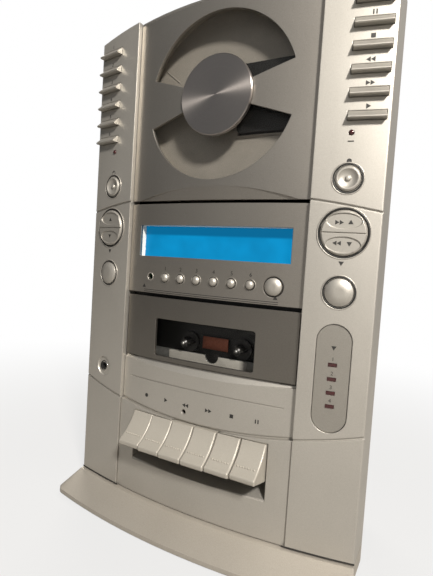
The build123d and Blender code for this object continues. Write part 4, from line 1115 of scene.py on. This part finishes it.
class PLAYER_OT_rocker_marks(bpy.types.Operator):
    """Prints the marks on the two rockers"""

    bl_idname = "player.rocker_marks"
    bl_label = "Rocker marks"

    def execute(self, context):
        face_proud, mark_rise = 0.85 * MM, 6.0 * MM
        symbol_x, arrow_x = CONTROL_X - 3.0 * MM, CONTROL_X + 3.6 * MM
        for side, name in zip(SIDES, ("volume_rocker", "tuning_rocker")):
            plates = []
            for up, mark, arrow in ((1, mark_forward, mark_up), (-1, mark_rewind, mark_down)):
                z = ROCKER_HEIGHT + up * mark_rise
                if side > 0:
                    plates += [lay_on_tangent(flat, symbol_x, z, face_proud) for flat in mark()]
                    plates += [lay_on_tangent(flat, arrow_x, z, face_proud) for flat in arrow()]
                else:
                    plates += [lay_on_tangent(flat, -CONTROL_X, z, face_proud) for flat in arrow()]
            print_marks(f"{name}_marks", plates, name)
        return {"FINISHED"}


class PLAYER_OT_key_dots(bpy.types.Operator):
    """Adds the row of raised dots to each piano key"""

    bl_idname = "player.key_dots"
    bl_label = "Key dots"

    def execute(self, context):
        radius = context.scene.player.rib_dot_radius
        lacquer = bpy.data.materials["sprayed_key_lacquer"]
        half_count, dot_pitch, dot_stretch = 3, 1.85 * MM, 1.2
        # The key's hollow face is an arc in section; the dots sit on it at face_turn
        face_turn, face_radius = math.radians(-51.6), 33.46
        face_y = (-30.28 + face_radius * math.cos(face_turn)) * MM
        face_z = (87.52 + face_radius * math.sin(face_turn)) * MM
        for column, name in enumerate(KEY_NAMES):
            x = row_x(column, len(KEY_NAMES), KEY_PITCH)
            middle = (x, bow_y(x) + face_y, face_z)
            deselect()
            bpy.ops.mesh.primitive_uv_sphere_add(
                segments=10, ring_count=6, radius=radius, location=middle
            )
            dot = take("dot")
            apply_place(dot)
            edit_all()
            bpy.ops.transform.resize(value=(dot_stretch, 1, 1), center_override=middle)
            leave_edit()
            bpy.ops.object.shade_smooth()
            steps = [step for step in range(-half_count, half_count + 1) if step]
            dots = [dot] + [copy_to(dot, (step * dot_pitch, 0, 0)) for step in steps]
            finish_piece(f"{name}_dots", dots, lacquer, name)
        return {"FINISHED"}


class PLAYER_OT_rings(bpy.types.Operator):
    """Adds dark rings of painted shade in the grooves, and bright bevels, round the knobs, rockers,
    jack and sensor
    """

    bl_idname = "player.rings"
    bl_label = "Rings"

    def execute(self, context):
        self.add_control_rings()
        self.add_preset_rings()
        ring = turned_ring(2.6 * MM, 4.2 * MM, 0.5 * MM)
        lay_on_tangent(ring, JACK_X, JACK_HEIGHT, -1.2 * MM)
        finish_piece("jack_ferrule", [ring], nickel_brass())
        return {"FINISHED"}

    def add_control_rings(self):
        """Rings round the knobs and rockers on both side panels."""
        places = (
            (SMALL_KNOB_RADIUS, SMALL_KNOB_HEIGHT),
            (ROCKER_RADIUS, ROCKER_HEIGHT),
            (PLAIN_BUTTON_RADIUS, PLAIN_BUTTON_HEIGHT),
        )
        gap, groove_width, bevel_start, bevel_end = 0.5 * MM, 1.0 * MM, 0.9 * MM, 1.7 * MM
        groove_shades, bevels = [], []
        for side in SIDES:
            for radius, z in places:
                inner = radius + gap
                # Black ring of painted shade in the groove round the control
                ring = turned_ring(inner, inner + groove_width, GROOVE_SHADE_PROUD)
                groove_shades.append(lay_on_tangent(ring, side * CONTROL_X, z))
                ring = turned_ring(inner + bevel_start, inner + bevel_end, BEVEL_PROUD)
                bevels.append(lay_on_tangent(ring, side * CONTROL_X, z))
        self.finish_rings("control", groove_shades, bevels)

    def add_preset_rings(self):
        """Rings round the presets, the memory button and the sensor."""
        groove_shades, bevels = [], []
        for number in range(PRESETS):
            x = row_x(number, PRESETS, PRESET_PITCH)
            # Black ring of painted shade in the groove round the preset
            ring = turned_ring(3.15 * MM, 3.55 * MM, GROOVE_SHADE_PROUD)
            groove_shades.append(lay_on_bow(ring, x, PRESET_HEIGHT, CENTRE_SINK))
            ring = turned_ring(3.5 * MM, 3.9 * MM, BEVEL_PROUD)
            bevels.append(lay_on_bow(ring, x, PRESET_HEIGHT, CENTRE_SINK))
        ring = turned_ring(6.0 * MM, 6.45 * MM, GROOVE_SHADE_PROUD)
        groove_shades.append(lay_on_bow(ring, MEMORY_X, PRESET_HEIGHT, CENTRE_SINK))
        ring = turned_ring(2.3 * MM, 2.95 * MM, 0.35 * MM)
        bevels.append(lay_on_bow(ring, SENSOR_X, PRESET_HEIGHT, CENTRE_SINK))
        self.finish_rings("preset", groove_shades, bevels)

    def finish_rings(self, name, groove_shades, bevels):
        """Black finish, as painted shade, for the rings in the grooves, and button lacquer for the
        bevels.
        """
        black = bpy.data.materials["moulded_black_abs"]
        bright = bpy.data.materials["sprayed_button_lacquer"]
        finish_piece(f"{name}_grooves", groove_shades, black)
        finish_piece(f"{name}_bevels", bevels, bright)


class PLAYER_OT_bay_fittings(bpy.types.Operator):
    """Adds what shows through the two windows"""

    bl_idname = "player.bay_fittings"
    bl_label = "Bay fittings"

    def execute(self, context):
        self.add_deck_plates()
        self.add_spindle_tips()
        self.add_tray_ribs()
        return {"FINISHED"}

    def add_deck_plates(self):
        """Copper pressure plate, a black sheet of painted shade behind the reels, and the deck's
        notched pale face.
        """
        plate = box_piece(at(-10.4, 24.5, 123.6), at(10.4, 25.3, 132.6), 0.3 * MM)
        finish_piece("pressure_plate", [plate], copper_steel())

        # Black sheet of painted shade where the door shades the upper deck behind the reels
        black = bpy.data.materials["moulded_black_abs"]
        mask = box_piece(at(-54.0, 26.8, 108.0), at(54.0, 27.05, 154.0), 0.1 * MM)
        for side in SIDES:
            bore(mask, side * REEL_X_MM * MM, REEL_HEIGHT_MM * MM, 2.8 * MM)
        finish_piece("deck_painted_shade_sheet", [mask], black)

        face = box_piece(at(-36.0, 20.0, 104.5), at(28.0, 20.5, 119.9), 0.2 * MM)
        bore(face, 0, 120.0 * MM, 5.5 * MM)
        pale = moulded_abs("pale_grey_abs", "#94918A", "#87847D", roughness=0.4)
        finish_piece("deck_face", [face], pale)

    def add_spindle_tips(self):
        """Domed steel tips on the two reel spindles."""
        steel = bpy.data.materials["zinc_plated_steel"]
        profile = ((0, -1.1), (0.7, -1.0), (1.3, -0.5), (1.5, 0.2), (1.5, 1.2), (0, 1.2))
        for side, name in zip(SIDES, ("supply_spindle", "take_up_spindle")):
            tip = turned_piece(profile, at(side * REEL_X_MM, 15.0, REEL_HEIGHT_MM))
            finish_piece(f"{name}_tip", [tip], steel, name)

    def add_tray_ribs(self):
        """Slanted rib at the upper left of the disc tray, and the rib under its pickup opening."""
        ridge = box_piece(at(-7.8, 17.9, -0.45), at(7.8, 18.8, 0.45), 0.3 * MM)
        ridge.location = (-45.4 * MM, 0, 319.5 * MM)
        ridge.rotation_euler = (0, math.radians(38), 0)
        apply_place(ridge)
        low = box_piece(at(9.8, 16.9, 271.2), at(57.0, 18.8, 272.6), 0.6 * MM)
        tray = bpy.data.materials["satin_tray_abs"]
        finish_piece("tray_ribs", [ridge, low], tray)


class PLAYER_OT_back_fittings(bpy.types.Operator):
    """Adds the terminal block, the sockets and the gauze behind the vents at the back"""

    bl_idname = "player.back_fittings"
    bl_label = "Back fittings"

    def execute(self, context):
        black = bpy.data.materials["moulded_black_abs"]
        red = moulded_abs("moulded_red_abs", "#8E1D1B", "#7C1715")
        self.add_terminal_block(black, red)
        self.add_sockets(black, red)
        return {"FINISHED"}

    def add_terminal_block(self, black, red):
        """Flanged block with four coloured levers over its wire holes, and the vents' gauze."""
        parts = [
            box_piece(at(-65.8, 98.5, 53.2), at(-24.2, 101.7, 66.8), 0.6 * MM),
            box_piece(at(-68.4, 101.8, 50.6), at(-21.6, 102.7, 69.4), 0.4 * MM),
        ]
        first_x, pitch, half_lever = -60.0, 10.0, 3.2
        red_levers, black_levers = [], []
        for place in range(4):
            x = first_x + pitch * place
            low, high = at(x - half_lever, 102.3, 59.0), at(x + half_lever, 105.1, 65.0)
            levers = black_levers if place % 2 else red_levers
            levers.append(box_piece(low, high, 0.8 * MM))
            rim = turned_ring(1.3 * MM, 2.1 * MM, 0.5 * MM)
            rim.location = at(x, 102.7, 56.2)
            rim.rotation_euler = (math.pi / 2, 0, 0)
            apply_place(rim)
            parts.append(rim)
        finish_piece("terminal_block", parts, black)
        gauze = box_piece(at(-47.0, 96.1, 186.0), at(47.0, 96.9, 304.0), 0.2 * MM)
        finish_piece("vent_gauze", [gauze], dust_gauze())
        finish_piece("terminal_levers_red", red_levers, red)
        finish_piece("terminal_levers_black", black_levers, black)

    def add_sockets(self, black, red):
        """Two line sockets with coloured cores and an aerial socket, each in a plated shell."""
        white = moulded_abs("moulded_white_abs", "#D5D2CB", "#C8C5BE")
        nickel = bpy.data.materials["nickel_plated_brass"]
        shell = ((3.4, 0), (5.0, 0), (5.0, 0.8), (4.1, 1.2), (4.1, 5.0), (3.4, 5.0), (3.4, 0))
        core = ((0, 0.2), (3.3, 0.2), (3.3, 4.2), (1.3, 4.2), (1.3, 1.0), (0, 1.0))
        shells = []
        for x, name, finish in ((5.0, "left_line_socket", white), (22.0, "right_line_socket", red)):
            seat = at(x, 101.4, 60.0)
            shells.append(turned_piece(shell, seat))
            finish_piece(name, [turned_piece(core, seat)], finish)
        seat = at(50.0, 100.0, 60.0)
        aerial_shell = [(radius * 0.95, depth) for radius, depth in shell]
        shells.append(turned_piece(aerial_shell, seat))
        finish_piece("socket_shells", shells, nickel)
        aerial_core = [(radius * 0.9, depth * 0.8) for radius, depth in core]
        finish_piece("aerial_socket", [turned_piece(aerial_core, seat)], black)


class PLAYER_PT_panel(bpy.types.Panel):
    """Lists the player's settings and steps"""

    bl_idname = "PLAYER_PT_panel"
    bl_label = "Player"
    bl_space_type = "VIEW_3D"
    bl_region_type = "UI"
    bl_category = "Player"

    def draw(self, context):
        settings = context.scene.player
        for name in PlayerSettings.__annotations__:
            self.layout.prop(settings, name)
        for operator in OPERATORS:
            self.layout.operator(operator.bl_idname)


OPERATORS = (
    PLAYER_OT_stage,
    PLAYER_OT_finishes,
    PLAYER_OT_panel_marks,
    PLAYER_OT_rocker_marks,
    PLAYER_OT_key_dots,
    PLAYER_OT_rings,
    PLAYER_OT_bay_fittings,
    PLAYER_OT_back_fittings,
)
CLASSES = (PlayerSettings,) + OPERATORS + (PLAYER_PT_panel,)


def register():
    """Registers the classes and the scene's settings."""
    for cls in CLASSES:
        bpy.utils.register_class(cls)
    bpy.types.Scene.player = bpy.props.PointerProperty(type=PlayerSettings)


def unregister():
    """Takes the settings and the classes away again."""
    del bpy.types.Scene.player
    for cls in reversed(CLASSES):
        bpy.utils.unregister_class(cls)


def main():
    """Runs every step in order."""
    register()
    bpy.ops.player.stage()
    bpy.ops.player.finishes()
    bpy.ops.player.panel_marks()
    bpy.ops.player.rocker_marks()
    bpy.ops.player.key_dots()
    bpy.ops.player.rings()
    bpy.ops.player.bay_fittings()
    bpy.ops.player.back_fittings()


if __name__ == "__main__":
    main()
